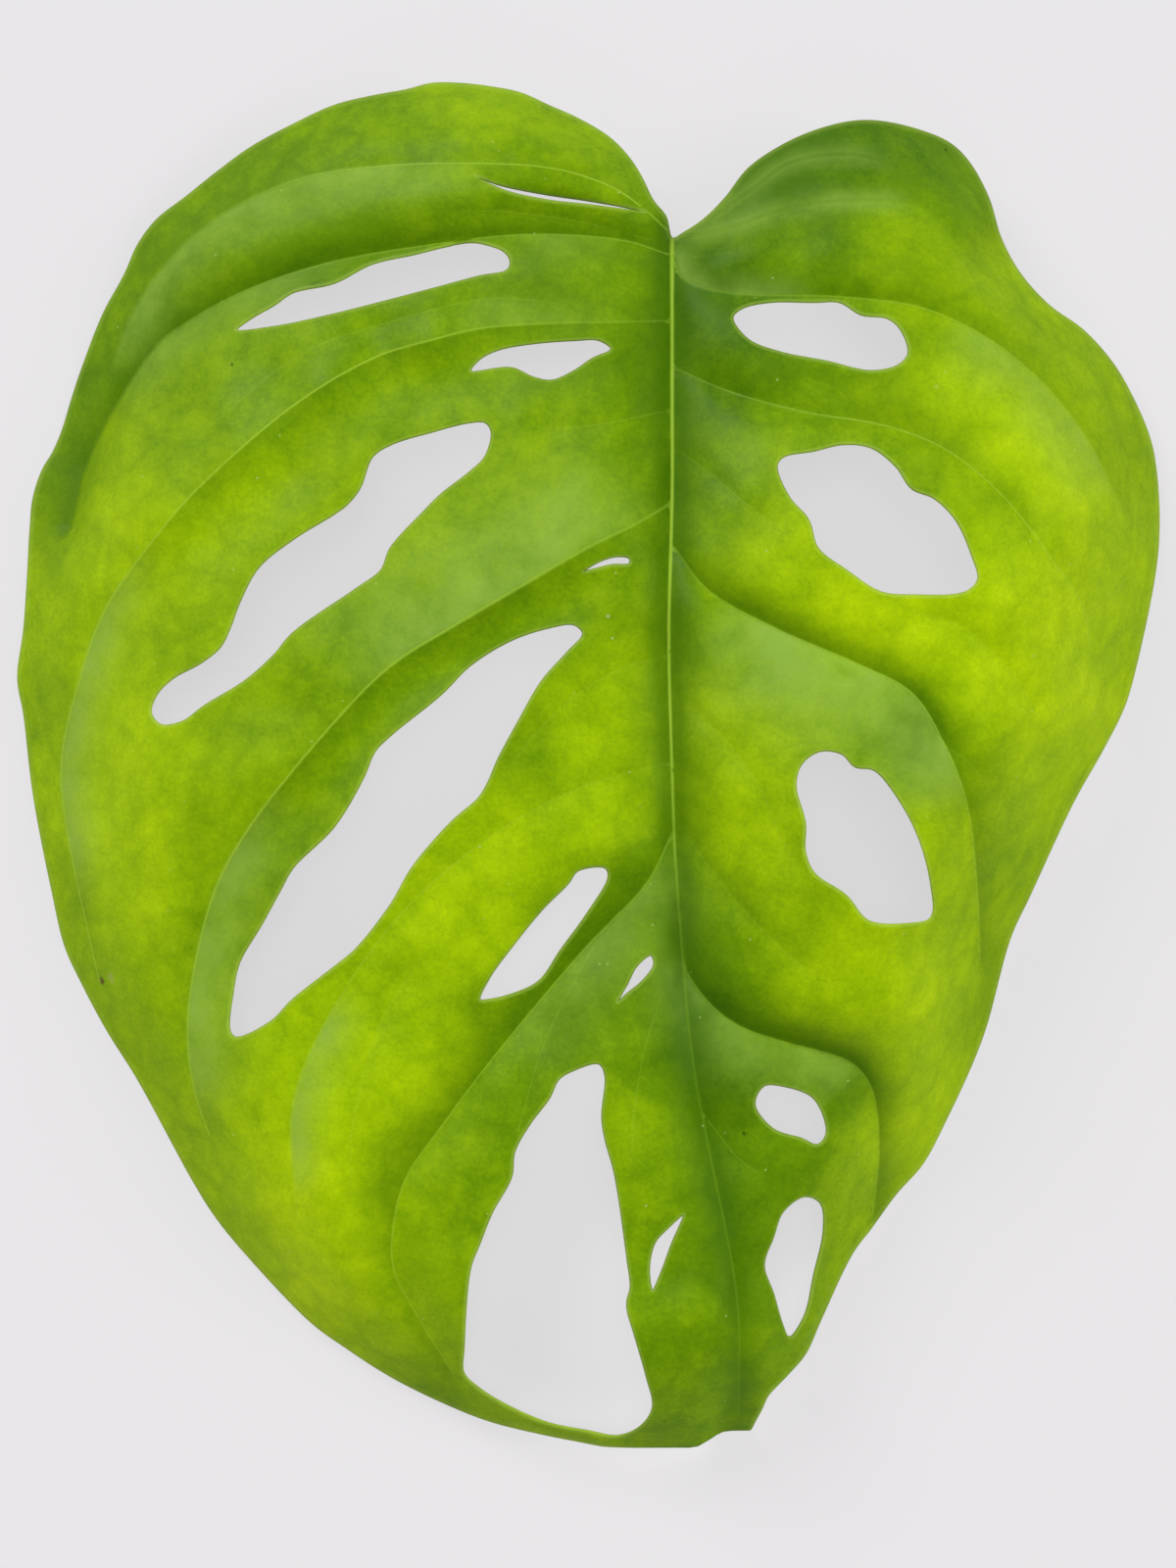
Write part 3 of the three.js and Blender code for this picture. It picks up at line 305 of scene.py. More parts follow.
# How yellow and bright the blade is by place, from 0, deep green, to 1: x, y, brightness.
# These hold the leaf's own colour and painted light and shade too: darker where the sheet faces
# away from the light, lighter where it faces the light or where light would shine through it.
tones_with_painted_light = [
    [-32, 20, 0.55], [-15, 16, 0.45], [-50, 18, 0.35], [-66, 9, 0.3], [-78, 1, 0.3],
    [-86, -10, 0.3], [-91, -22, 0.2], [-96, -35, 0.3], [-40, 14, 0.35], [-25, 4, 0.35],
    [-42, 5, 0.45], [-58, 4, 0.3], [-70, -3, 0.45], [-78, -11, 0.3], [-10, 3, 0.4],
    [-60, -6, 0.05], [-45, -1, 0.25], [-20, -4, 0.25], [-40, -9, 0.3], [-60, -15, 0.4],
    [-74, -20, 0.42], [-86, -30, 0.58], [-12, -9, 0.3], [-30, -13, 0.35], [-45, -24, 0.4],
    [-60, -28, 0.35], [-75, -35, 0.43], [-86, -44, 0.75], [-97, -52, 0.55], [-100, -75, 0.5],
    [-92, -60, 0.65], [-82, -55, 0.65], [-68, -45, 0.6], [-56, -38, 0.55], [-75, -62, 0.5],
    [-88, -75, 0.7], [-92, -95, 0.75], [-82, -90, 0.75], [-84, -105, 0.7], [-88, -120, 0.55],
    [-97, -100, 0.45], [-20, -34, 0.45], [-8, -32, 0.35], [-18, -44, 0.5], [-35, -50, 0.5],
    [-50, -61, 0.4], [-64, -76, 0.45], [-74, -90, 0.5], [-6, -45, 0.35], [-24, -57, 0.3],
    [-38, -68, 0.3], [-50, -80, 0.35], [-62, -98, 0.35], [-72, -110, 0.4], [-73, -128, 0.5],
    [-10, -56, 0.4], [-6, -66, 0.6], [-15, -80, 0.65], [-22, -82, 0.35], [-12, -92, 0.65],
    [-25, -96, 0.75], [-36, -106, 0.7], [-50, -120, 0.6], [-62, -134, 0.7], [-56, -148, 0.85],
    [-64, -150, 0.8], [-45, -135, 0.7], [-44, -148, 0.5], [-54, -162, 0.8], [-44, -172, 0.65],
    [-76, -140, 0.6], [-70, -152, 0.55], [-30, -112, 0.7], [-36, -130, 0.65], [-26, -122, 0.3],
    [-12, -110, 0.15], [-6, -104, 0.25], [-20, -126, 0.25], [-28, -138, 0.3], [-34, -150, 0.4],
    [-36, -165, 0.45], [-35, -178, 0.45], [-20, -188, 0.6], [-8, -125, 0.3], [-6, -140, 0.5],
    [-3, -152, 0.4], [-2, -172, 0.3], [5, -180, 0.4], [3, -188, 0.35], [-5, -160, 0.4],
    [6, -158, 0.15], [15, -176, 0.35], [12, -165, 0.25], [28, 16, 0], [40, 12, 0.1],
    [15, 10, -0.2], [47, 5, 0.25], [22, 5, 0.1], [35, 0, 0.5], [20, -3, 0.3], [12, -6, 0.1],
    [50, -6, 0.6], [8, -18, 0.1], [6, -10, 0], [45, -14, 0.5], [56, -14, 0.55], [66, -22, 0.55],
    [72, -33, 0.5], [20, -22, 0.25], [10, -26, 0.05], [32, -25, 0.45], [44, -26, 0.7],
    [54, -30, 0.8], [62, -40, 0.85], [14, -33, 0.5], [40, -34, 0.35], [8, -42, 0.45],
    [16, -50, 0.7], [52, -44, 0.55], [56, -56, 0.75], [66, -58, 0.8], [73, -52, 0.65],
    [72, -64, 0.6], [8, -56, 0.5], [28, -60, 0.85], [40, -62, 0.75], [50, -70, 0.85],
    [62, -72, 0.85], [15, -68, 0.35], [8, -75, 0.65], [25, -73, 0.5], [38, -78, 0.15],
    [48, -84, 0.45], [56, -86, 0.7], [62, -88, 0.6], [14, -84, 0.65], [10, -95, 0.7],
    [18, -102, 0.6], [12, -112, 0.55], [28, -114, 0.75], [44, -98, 0.7], [50, -106, 0.6],
    [40, -120, 0.8], [30, -124, 0.7], [52, -100, 0.5], [48, -124, 0.5], [42, -132, 0.7],
    [18, -122, 0.65], [8, -120, -0.1], [6, -113, 0.15], [14, -124.5, 0.4], [12, -130, 0],
    [5, -128, -0.05], [26, -134, 0.05], [33, -142, 0.75], [38, -140, 0.75], [28, -152, 0.55],
    [24, -162, 0.5], [12, -146, 0.2], [10, -154, 0.05], [19, -148, 0.2], [4, -100, 0.3],
    [3, -60, 0.15], [3, -80, 0.5], [3, -40, 0.15], [-3, -20, 0.15],
]
# How far the value of each place reaches.
tone_reach = 6

# How far the bottom of a crease is rounded, and how wide a fine one is.
crease_round = 0.35
fine_crease_width = 2.2

# Between the veins the sheet swells and ripples a little: how high, and how wide.
swell_height = 0.65
swell_width = 13
ripple_height = 0.18
ripple_width = 5

# A painted grey sheen, the highlight of the window lamp on the slopes that face it, lies beside
# these
# veins: how strong it is, how wide, on which side of the vein (1 towards the base, -1 towards the
# tip), and from where to where along the vein.
painted_sheen_bands = [
    ("left 1", 0.6, 5, -1, 0.25, 0.9), ("left 2", 0.5, 4, -1, 0.4, 0.85),
    ("left 3", 0.8, 4, -1, 0.55, 0.95), ("left 4", 0.6, 12, 1, 0.0, 0.45),
    ("left 4", 0.75, 6, -1, 0.55, 1.0), ("left 5", 0.8, 3.5, -1, 0.6, 0.97),
    ("left 6", 0.4, 8, -1, 0.0, 0.45), ("right 2", 0.5, 1.8, 1, -0.12, 0.6),
    ("right 3", 0.5, 6, -1, 0.5, 1.0), ("right 5", 0.75, 11, -1, 0.1, 0.75),
    ("right 6", 0.45, 7, -1, 0.05, 0.7), ("right 1", 0.4, 1.4, 1, -0.12, 0.7),
    ("right 1", 0.4, 1.4, -1, -0.12, 0.7), ("right 2", 0.5, 1.6, -1, -0.12, 0.6),
    ("right 3", 0.7, 2.5, 1, -0.12, 0.3), ("left 3", 0.35, 5, 1, 0.02, 0.25),
    ("left 2", 0.35, 4, -1, 0.02, 0.25),
]

# Small marks on the face: x, y, radius, how strong, and their colour.
marks = [
    (-69, -20, 0.35, 0.8, "#26400a"), (11, -142, 0.4, 0.8, "#26400a"),
    (43, 14, 0.4, 0.8, "#26400a"), (-88.5, -117, 1.2, 0.5, "#a9ad5a"),
    (-90, -118, 0.9, 0.85, "#5c4620"), (-9.5, -59.5, 0.4, 0.5, "#c3cf9a"),
    (-9, -63, 0.3, 0.5, "#c3cf9a"), (42, -23.5, 0.5, 0.5, "#b9c94a"),
    (43, -21.5, 0.4, 0.5, "#b9c94a"),
]

# Right beside the midrib the sheet dips again: how deep and how wide.
gutter_depth = 1.3
gutter_width = 1.8

# Past these veins, towards the tip, the sheet first falls by this much over this width.
falls = {"left 3": (2.2, 5.5), "left 4": (3.2, 5.5)}

# The margin rolls down by this much over this width, but not round the tip.
roll_depth = 4
roll_width = 9
tip_place = (4, -190)

# The tip droops over this reach and then curls under, past an edge that rises to the right.
droop_radius = 24
droop_reach = 23
curl_radius = 4
tip_edge_left = -191
tip_edge_right = -188.3

# The flap of the lens sinks this deep between its two ends.
flap_depth = 3.2
flap_left = -31.5
flap_right = -4

# How softly the sheet comes to rest where it meets the table.
table_give = 1

# The outlines are drawn as an eye this high over the crest sees them, straight above this
# point. What lies lower than the crest really stands further out.
eye_height = 586
eye_level = 27
eye_place = (-13.3, -86.3)


def smooth_line(points, closed, step):
    """Even points on a smooth line through the drawn ones."""
    drawn = np.array(points, float)
    if closed:
        knots = np.vstack([drawn[-1:], drawn, drawn[:2]])
    else:
        knots = np.vstack([2 * drawn[0] - drawn[1], drawn, 2 * drawn[-1] - drawn[-2]])
    before, start, end, after = knots[:-3], knots[1:-2], knots[2:-1], knots[3:]
    first = np.sqrt(np.linalg.norm(start - before, axis=1))[:, None]
    middle = np.sqrt(np.linalg.norm(end - start, axis=1))[:, None]
    last = np.sqrt(np.linalg.norm(after - end, axis=1))[:, None]
    leave = (start - before) / first - (end - before) / (first + middle)
    leave = middle * (leave + (end - start) / middle)
    arrive = (end - start) / middle - (after - start) / (middle + last)
    arrive = middle * (arrive + (after - end) / last)
    t = np.linspace(0, 1, 20, endpoint=False)[None, :, None]
    start, end = start[:, None], end[:, None]
    leave, arrive = leave[:, None], arrive[:, None]
    bend = 3 * (end - start) - 2 * leave - arrive
    twist = 2 * (start - end) + leave + arrive
    fine = (start + t * leave + t ** 2 * bend + t ** 3 * twist).reshape(-1, drawn.shape[1])
    fine = np.vstack([fine, fine[:1] if closed else drawn[-1:]])
    run = np.append(0, np.cumsum(np.linalg.norm(np.diff(fine, axis=0), axis=1)))
    places = np.linspace(0, run[-1], max(8, round(run[-1] / step)) + 1)
    even = np.column_stack([np.interp(places, run, column) for column in fine.T])
    return even[:-1] if closed else even


def nearest(points, line, closed):
    """For each point the distance to a line, how far along it lies, and on which side."""
    starts = line if closed else line[:-1]
    steps = (np.roll(line, -1, axis=0) if closed else line[1:]) - starts
    lengths = (steps ** 2).sum(1)
    found = []
    for first in range(0, len(points), 1500):
        off = points[first:first + 1500, None] - starts
        t = np.clip((off * steps).sum(2) / lengths, 0, 1)
        squared = ((off - t[..., None] * steps) ** 2).sum(2)
        best = squared.argmin(1)
        rows = np.arange(len(best))
        turn = steps[best, 0] * off[rows, best, 1] - steps[best, 1] * off[rows, best, 0]
        along = (best + t[rows, best]) / len(starts)
        found.append([np.sqrt(squared[rows, best]), along, np.where(turn < 0, -1, 1)])
    return [np.concatenate(part) for part in zip(*found)]


def ease(value, low, high):
    """0 below low, 1 above high, and a smooth step between."""
    t = np.clip((value - low) / (high - low), 0, 1)
    return t * t * (3 - 2 * t)


def plate_term(squared):
    """The pull of a drawn height at this distance, squared, in a thin bent plate."""
    return 0.5 * squared * np.log(np.maximum(squared, 1e-12))


def bent_plate(points, drawn):
    """The height, at these points, of the smoothest plate through the drawn ones."""
    places, heights = np.array(drawn, float)[:, :2], np.array(drawn, float)[:, 2]
    count = len(places)
    flat = np.column_stack([np.ones(count), places])
    system = np.zeros((count + 3, count + 3))
    system[:count, :count] = plate_term(((places[:, None] - places) ** 2).sum(2))
    system[:count, count:] = flat
    system[count:, :count] = flat.T
    weights = np.linalg.solve(system, np.append(heights, [0, 0, 0]))
    pulls = plate_term(((points[:, None] - places) ** 2).sum(2))
    return pulls @ weights[:count] + weights[count] + points @ weights[count + 1:]


def blended(points, drawn, reach):
    """A value drawn at a few places, blended smoothly between them."""
    places, values = np.array(drawn, float)[:, :2], np.array(drawn, float)[:, 2]
    squared = ((points[:, None] - places) ** 2).sum(2)
    pulls = 1 / (squared + reach ** 2) ** 2
    return pulls @ values / pulls.sum(1)


def is_inside(points, ring):
    """Whether each point lies inside a ring."""
    x1, y1 = ring[:, 0], ring[:, 1]
    x2, y2 = np.roll(x1, -1), np.roll(y1, -1)
    inside = []
    for first in range(0, len(points), 4000):
        x = points[first:first + 4000, :1]
        y = points[first:first + 4000, 1:]
        crosses = (y1 > y) != (y2 > y)
        rise = np.where(y1 == y2, 1, y2 - y1)
        inside.append((crosses & (x < x1 + (x2 - x1) * (y - y1) / rise)).sum(1) % 2 == 1)
    return np.concatenate(inside)


# How far apart the points of the mesh stand along each kind of line, and between the lines.
margin_step = 0.8
hole_step = 0.7
slit_step = 0.4
vein_step = 0.9
fine_vein_step = 1.1
lattice_step = 1.35

margin_ring = smooth_line(margin, True, margin_step)
hole_rings = [smooth_line(hole, True, hole_step) for hole in wide_holes]
hole_rings += [smooth_line(slit, True, slit_step) for slit in slits]
rings = [margin_ring] + hole_rings
vein_lines = [smooth_line(vein["line"], False, vein_step) for vein in veins]
fine_lines = [smooth_line(line, False, fine_vein_step) for depth, line in fine_veins]


def is_blade(points):
    """Whether each point lies inside the margin and outside all the holes."""
    inside = is_inside(points, margin_ring)
    for ring in hole_rings:
        inside &= ~is_inside(points, ring)
    return inside


def edge_distance(points):
    """How far each point is from the margin or a hole, whichever is nearer."""
    return np.min([nearest(points, ring, True)[0] for ring in rings], axis=0)


def beside(line, gap):
    """The same line, moved sideways."""
    heading = np.gradient(line, axis=0)
    heading /= np.linalg.norm(heading, axis=1)[:, None]
    return line + gap * np.column_stack([-heading[:, 1], heading[:, 0]])


def spaced(points, kept, gap):
    """Adds to the kept points those that stand at least this far from all others."""
    cells = {}
    for point in kept:
        cells.setdefault((int(point[0] // gap), int(point[1] // gap)), []).append(point)
    for point in points:
        column, row = int(point[0] // gap), int(point[1] // gap)
        close = [other for i in (-1, 0, 1) for j in (-1, 0, 1)
                 for other in cells.get((column + i, row + j), [])]
        if all(math.dist(point, other) >= gap for other in close):
            cells.setdefault((column, row), []).append(point)
            kept.append(point)


def blade_plan():
    """The points and triangles of the blade's mesh, on the plan."""
    edge = np.vstack(rings)
    # Rows of points follow the veins and the edges, so that creases and rims stay sharp.
    rows = list(vein_lines)
    rows += [beside(line, gap) for gap in (0.45, -0.45) for line in vein_lines]
    rows += fine_lines
    rows += [beside(line, gap) for gap in (1.1, -1.1) for line in vein_lines]
    rows += [beside(line, gap) for gap in (0.7, -0.7) for line in fine_lines]
    near_veins = np.vstack(rows)
    near_veins = near_veins[is_blade(near_veins)]
    near_veins = near_veins[edge_distance(near_veins) > 0.35]
    inner = np.vstack([beside(ring, gap) for ring in rings for gap in (0.5, -0.5)])
    inner = inner[is_blade(inner)]
    inner = inner[edge_distance(inner) > 0.4]
    kept = [tuple(point) for point in edge]
    spaced([tuple(point) for point in near_veins], kept, 0.38)
    spaced([tuple(point) for point in inner], kept, 0.45)
    # Between the veins the points form even triangles.
    down = np.arange(-200, 26, lattice_step * math.sqrt(0.75))
    across = np.arange(-106, 80, lattice_step)
    lattice = np.vstack([
        np.column_stack([across + (i % 2) * lattice_step / 2, np.full(len(across), y)])
        for i, y in enumerate(down)])
    lattice = lattice[is_blade(lattice)]
    spaced([tuple(point) for point in lattice], kept, 0.85)

    # The margin and the rims of the holes stay edges of the mesh.
    bounds = []
    first = 0
    for ring in rings:
        count = len(ring)
        bounds += [(first + i, first + (i + 1) % count) for i in range(count)]
        first += count
    corners, _, faces, *_ = delaunay_2d_cdt(
        [Vector(point) for point in kept], bounds, [], 0, 1e-5)
    plan = np.array([tuple(corner) for corner in corners])
    triangles = np.array([tuple(face) for face in faces])
    triangles = triangles[is_blade(plan[triangles].mean(1))]
    used, places = np.unique(triangles, return_inverse=True)
    return plan[used], places.reshape(-1, 3)


plan, triangles = blade_plan()
x, y = plan.T

# What every point needs to know: how the veins crease, colour and thicken the sheet there, with the
# shade and the grey sheen that are painted beside them, and how far away the edge is.
crease_power = np.zeros(len(plan))
painted_crease_shade = np.zeros(len(plan))
fall = np.zeros(len(plan))
painted_sheen = np.zeros(len(plan))
line_ratio = np.full(len(plan), 20.0)
line_strength = np.zeros(len(plan))
keel = np.zeros(len(plan))
for vein, line in zip(veins, vein_lines):
    gap, along, side = nearest(plan, line, False)
    # Towards the base side is 1, and lean rises to 1 just beside the vein.
    side = side * math.copysign(1, line[-1, 0])
    lean = np.clip(side * gap / 0.3, -1, 1)
    width = np.where(side > 0, vein["to_base"], vein["to_tip"])
    fade = 1 - (1 - vein["tail"]) * ease(along, 0.55, 1)
    away = np.hypot(gap, crease_round) - crease_round
    depth = vein["depth"] * fade * np.exp(-away / width)
    crease_power += depth ** 4
    # Painted shade, darkest on the side of the vein that faces away from the light: the tip side
    # past a fall, the base side elsewhere.
    shade = 0.56 - 0.32 * lean if vein["name"] in falls else 0.56 + 0.32 * lean
    painted_crease_shade = np.maximum(painted_crease_shade, depth / width * shade)

    # Painted sheen: a grey highlight painted beside the vein, on the slope that faces the light.
    for vein_name, strength, reach, which, first, last in painted_sheen_bands:
        if vein_name == vein["name"]:
            span = ease(along, first, first + 0.12) * (1 - ease(along, last - 0.12, last))
            band = (0.5 + 0.5 * which * lean) * np.exp(-(gap / reach) ** 2)
            painted_sheen = np.maximum(painted_sheen, strength * span * band)

    if vein["name"] in falls:
        deep, wide = falls[vein["name"]]
        out = gap / wide
        past_vein = (side < 0) * ease(along, 0.02, 0.2) * (1 - ease(along, 0.75, 1))
        fall += past_vein * deep * out * np.exp(0.5 * (1 - out ** 2))

    # The pale line on the face and the rib on the back grow thin towards the vein's end.
    thick = vein["half_width"] * (1 - 0.6 * along)
    at_base, at_end, first, last = vein["pale"]
    strength = at_base + (at_end - at_base) * ease(along, first, last)
    line_strength = np.where(gap / thick < line_ratio, strength, line_strength)
    line_ratio = np.minimum(line_ratio, gap / thick)
    keel_width = 1.9 * thick + 0.25
    keel = np.maximum(keel, vein["keel"] * (1 - 0.8 * along) * np.exp(-(gap / keel_width) ** 2))
crease = crease_power ** 0.25

# The midrib's own gutter, and the shade painted along its channel.
gap, along, _ = nearest(plan, vein_lines[0], False)
gutter = gutter_depth * np.exp(-np.hypot(gap, 0.3) / gutter_width) * (1 - 0.6 * along)
crease += gutter
channel = np.exp(-(gap / 3) ** 2) + 0.45 * np.exp(-(gap / 8) ** 2)
painted_crease_shade = np.maximum(painted_crease_shade, (1 - 0.4 * along) * channel)

fine_crease = np.zeros(len(plan))
for (depth, _), line in zip(fine_veins, fine_lines):
    gap, along, _ = nearest(plan, line, False)
    ends = ease(along, 0, 0.15) * (1 - ease(along, 0.7, 1))
    fine_crease = np.maximum(fine_crease, ends * depth * np.exp(-gap / fine_crease_width))
    ratio = gap / 0.16 + 0.9
    line_strength = np.where(ratio < line_ratio, 0.5 * ends, line_strength)
    line_ratio = np.minimum(line_ratio, ratio)
    keel = np.maximum(keel, 0.12 * ends * np.exp(-(gap / 0.4) ** 2))
edge_gap = edge_distance(plan)
margin_gap = nearest(plan, margin_ring, True)[0]

# The height of the middle of the sheet: a smooth dome, less its creases, rolls and flap.
from_tip = np.hypot(x - tip_place[0], y - tip_place[1])
roll = roll_depth * np.clip(1 - margin_gap / roll_width, 0, 1) ** 2 * ease(from_tip, 12, 24)
lens_ring = hole_rings[len(wide_holes)]
stations = np.arange(flap_left, flap_right, 0.5)
lens_middle = [lens_ring[np.abs(lens_ring[:, 0] - station) < 2, 1].mean()
               for station in stations]
over_lens = y - np.interp(x, stations, lens_middle)
on_flap = (x > flap_left) & (x < flap_right) & (over_lens > 0) & (over_lens < 5)
from_vein = nearest(plan, vein_lines[1], False)[0]
bow = np.sin(math.pi * np.clip((x - flap_left) / (flap_right - flap_left), 0, 1))
flap = on_flap * flap_depth * bow * from_vein / (from_vein + np.maximum(over_lens, 0) + 0.01)
swell = np.array([noise(Vector((*point / swell_width, 0))) for point in plan])
ripple = np.array([noise(Vector((*point / ripple_width, 7))) for point in plan])
tip_edge = tip_edge_left + (tip_edge_right - tip_edge_left) * ease(x, 3, 9)
on_plan = np.column_stack([x, np.maximum(y, tip_edge)])
z = bent_plate(on_plan, crests) - crease - fine_crease - fall - roll - flap
z += (swell_height * swell + ripple_height * ripple) * ease(edge_gap, 0, 6)

# The tip droops along an arc, and nothing sinks through the table.
past = np.clip(tip_edge + droop_reach - y, 0, droop_reach)
z -= droop_radius - np.sqrt(droop_radius ** 2 - past ** 2)
z = (z + np.hypot(z, table_give)) / 2

# Past the tip's edge the sheet curls under.
start = math.asin(droop_reach / droop_radius)
turn = start + np.maximum(tip_edge - y, 0) / curl_radius
out_y = on_plan[:, 1] - curl_radius * (np.sin(turn) - math.sin(start))
z -= curl_radius * (math.cos(start) - np.cos(turn))
spread = 1 + (eye_level - z) / eye_height
middle = np.column_stack([
    eye_place[0] + (x - eye_place[0]) * spread,
    eye_place[1] + (out_y - eye_place[1]) * spread,
    z])

# Two faces on either side of it, and a rounded rim between them.
a, b, c = (middle[triangles[:, i]] for i in range(3))
facing = np.cross(b - a, c - a)
normals = np.zeros_like(middle)
for i in range(3):
    np.add.at(normals, triangles[:, i], facing)
normals /= np.linalg.norm(normals, axis=1)[:, None]
corner_pairs = np.vstack([triangles[:, [0, 1]], triangles[:, [1, 2]], triangles[:, [2, 0]]])
sides = set(map(tuple, corner_pairs))
rim = np.array([pair for pair in map(tuple, corner_pairs) if pair[::-1] not in sides])
outward = np.zeros_like(middle)
push = np.cross(middle[rim[:, 1]] - middle[rim[:, 0]], normals[rim[:, 0]])
push /= np.linalg.norm(push, axis=1)[:, None]
for i in range(2):
    np.add.at(outward, rim[:, i], push)
rim_points = np.unique(rim)
outward = outward[rim_points]
outward /= np.linalg.norm(outward, axis=1)[:, None]
half = blade_thickness / 2
tops = middle + normals * half
bottoms = middle - normals * (half + keel)[:, None]
count = len(middle)
rim_place = np.full(count, -1)
rim_place[rim_points] = 2 * count + np.arange(len(rim_points))
corners = np.vstack([tops, bottoms, middle[rim_points] + outward * half])
faces = [tuple(face) for face in triangles]
faces += [(count + face[0], count + face[2], count + face[1]) for face in triangles]
for from_point, to_point in rim:
    low, high = rim_place[from_point], rim_place[to_point]
    faces.append((low, high, to_point, from_point))
    faces.append((count + from_point, count + to_point, high, low))

# It lies where the part's own blade lies, with its lowest points on the table.
blade_low, blade_high = (np.array(corner) * 1000 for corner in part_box("leaf_blade"))
home = (blade_low + blade_high) / 2 - (corners.min(0) + corners.max(0)) / 2
home[2] = -corners[:, 2].min()


def piece_from(name, corners, faces, values):
    """A smooth piece from corners in millimetres, with a named value for each corner."""
    mesh = bpy.data.meshes.new(name)
    mesh.from_pydata(((corners + home) / 1000).tolist(), [], faces)
    mesh.update()
    mesh.shade_smooth()
    for value_name, value in values.items():
        layer = mesh.attributes.new(value_name, "FLOAT", "POINT")
        layer.data.foreach_set("value", np.asarray(value, np.float32))
    piece = bpy.data.objects.new(name, mesh)
    bpy.context.collection.objects.link(piece)
    return piece


def on_both_faces(value):
    """The same values for the upper corners, the lower ones and the rim."""
    return np.concatenate([value, value, value[rim_points]])


blade = piece_from("blade", corners, faces, {
    "tone_with_painted_light": on_both_faces(blended(plan, tones_with_painted_light, tone_reach)),
    "vein_ratio": on_both_faces(line_ratio),
    "vein_strength": on_both_faces(line_strength),
    "painted_crease_shade": on_both_faces(painted_crease_shade),
    "edge_gap": on_both_faces(np.minimum(edge_gap, margin_gap / 2)),
    "painted_sheen": on_both_faces(painted_sheen),
    "under": np.concatenate([np.zeros(count), np.ones(count), np.zeros(len(rim_points))]),
})


def linear(code):
    """An sRGB hex colour as linear red, green, blue and opacity."""
    parts = [int(code[i:i + 2], 16) / 255 for i in (1, 3, 5)]
    return [p / 12.92 if p <= 0.04045 else ((p + 0.055) / 1.055) ** 2.4 for p in parts] + [1]


def add(tree, kind, settings, links=None):
    """Adds a node. Settings are its own fields or its sockets; links join sockets to it."""
    node = tree.nodes.new(kind)
    for name, value in settings.items():
        if isinstance(name, str) and hasattr(node, name):
            setattr(node, name, value)
        else:
            node.inputs[name].default_value = value
    for name, socket in (links or {}).items():
        tree.links.new(socket, node.inputs[name])
    return node


# Leaf skin: living tissue under a thin coat of wax, as it grew. The eye gets a satin gloss, a
# deep green beside the veins and yellow on the swells, both partly painted shade and light, a
# painted grey sheen beside some veins, and a paler, duller back.
leaf_skin = bpy.data.materials.new("leaf skin, waxed face and dull back")
leaf_skin.use_nodes = True
tree = leaf_skin.node_tree
tree.nodes.clear()
place = add(tree, "ShaderNodeTexCoord", {}).outputs["Object"]
value = {name: add(tree, "ShaderNodeAttribute", {"attribute_name": name}).outputs["Fac"]
         for name in ("tone_with_painted_light", "vein_ratio", "vein_strength", "painted_crease_shade", "edge_gap", "painted_sheen",
                      "under")}

# The green comes in clouds 9 mm wide with 4 mm patches in them. The cells of the skin are too
# fine to show, so its grain is drawn as mottles of 0.7 mm.
patches = add(tree, "ShaderNodeTexNoise", {"Scale": 1000 / 4, "Detail": 2.0, "Roughness": 0.5},
              {"Vector": place}).outputs["Fac"]
clouds = add(tree, "ShaderNodeTexNoise", {"Scale": 1000 / 9, "Detail": 3.0, "Roughness": 0.6},
             {"Vector": place}).outputs["Fac"]
mottles = add(tree, "ShaderNodeTexNoise", {"Scale": 1000 / 0.7, "Detail": 2.0, "Roughness": 0.7},
              {"Vector": place}).outputs["Fac"]

# The finest veins make a net with meshes of 2.6 mm, inside a wider one of 7.5 mm, both uneven.
bent = add(tree, "ShaderNodeTexNoise", {"Scale": 1000 / 3, "Detail": 1.0}, {"Vector": place})
bent_place = add(tree, "ShaderNodeVectorMath", {"operation": "MULTIPLY_ADD", 1: (0.0018,) * 3},
                 {0: bent.outputs["Color"], 2: place}).outputs["Vector"]
net = add(tree, "ShaderNodeTexVoronoi", {"feature": "DISTANCE_TO_EDGE", "Scale": 1000 / 2.6},
          {"Vector": bent_place}).outputs["Distance"]
wide_net = add(tree, "ShaderNodeTexVoronoi", {"feature": "DISTANCE_TO_EDGE", "Scale": 1000 / 7.5},
               {"Vector": bent_place}).outputs["Distance"]
dust = add(tree, "ShaderNodeTexVoronoi", {"Scale": 1000 / 5}, {"Vector": place}).outputs["Distance"]

# How strong each effect is, at this value and at that value of what it follows.
strong = {}
for name, source, this, that, at_this, at_that in (
        ("wide net", wide_net, 0, 0.2, 1, 0),
        ("net", net, 0, 0.25, 1, 0),
        ("crease", value["painted_crease_shade"], 0.1, 0.95, 0, 0.6),
        ("painted sheen clouds", clouds, 0.3, 0.62, 0.35, 1),
        ("vein", value["vein_ratio"], 0.4, 1.5, 1, 0),
        ("rim", value["edge_gap"], 0.05, 0.4, 0.28, 0),
        ("dust", dust, 0.02, 0.045, 0.6, 0),
        ("roughness", clouds, 0.3, 0.7, 0.37, 0.5)):
    strong[name] = add(tree, "ShaderNodeMapRange", {
        "From Min": this, "From Max": that, "To Min": at_this, "To Max": at_that,
    }, {"Value": source}).outputs["Result"]

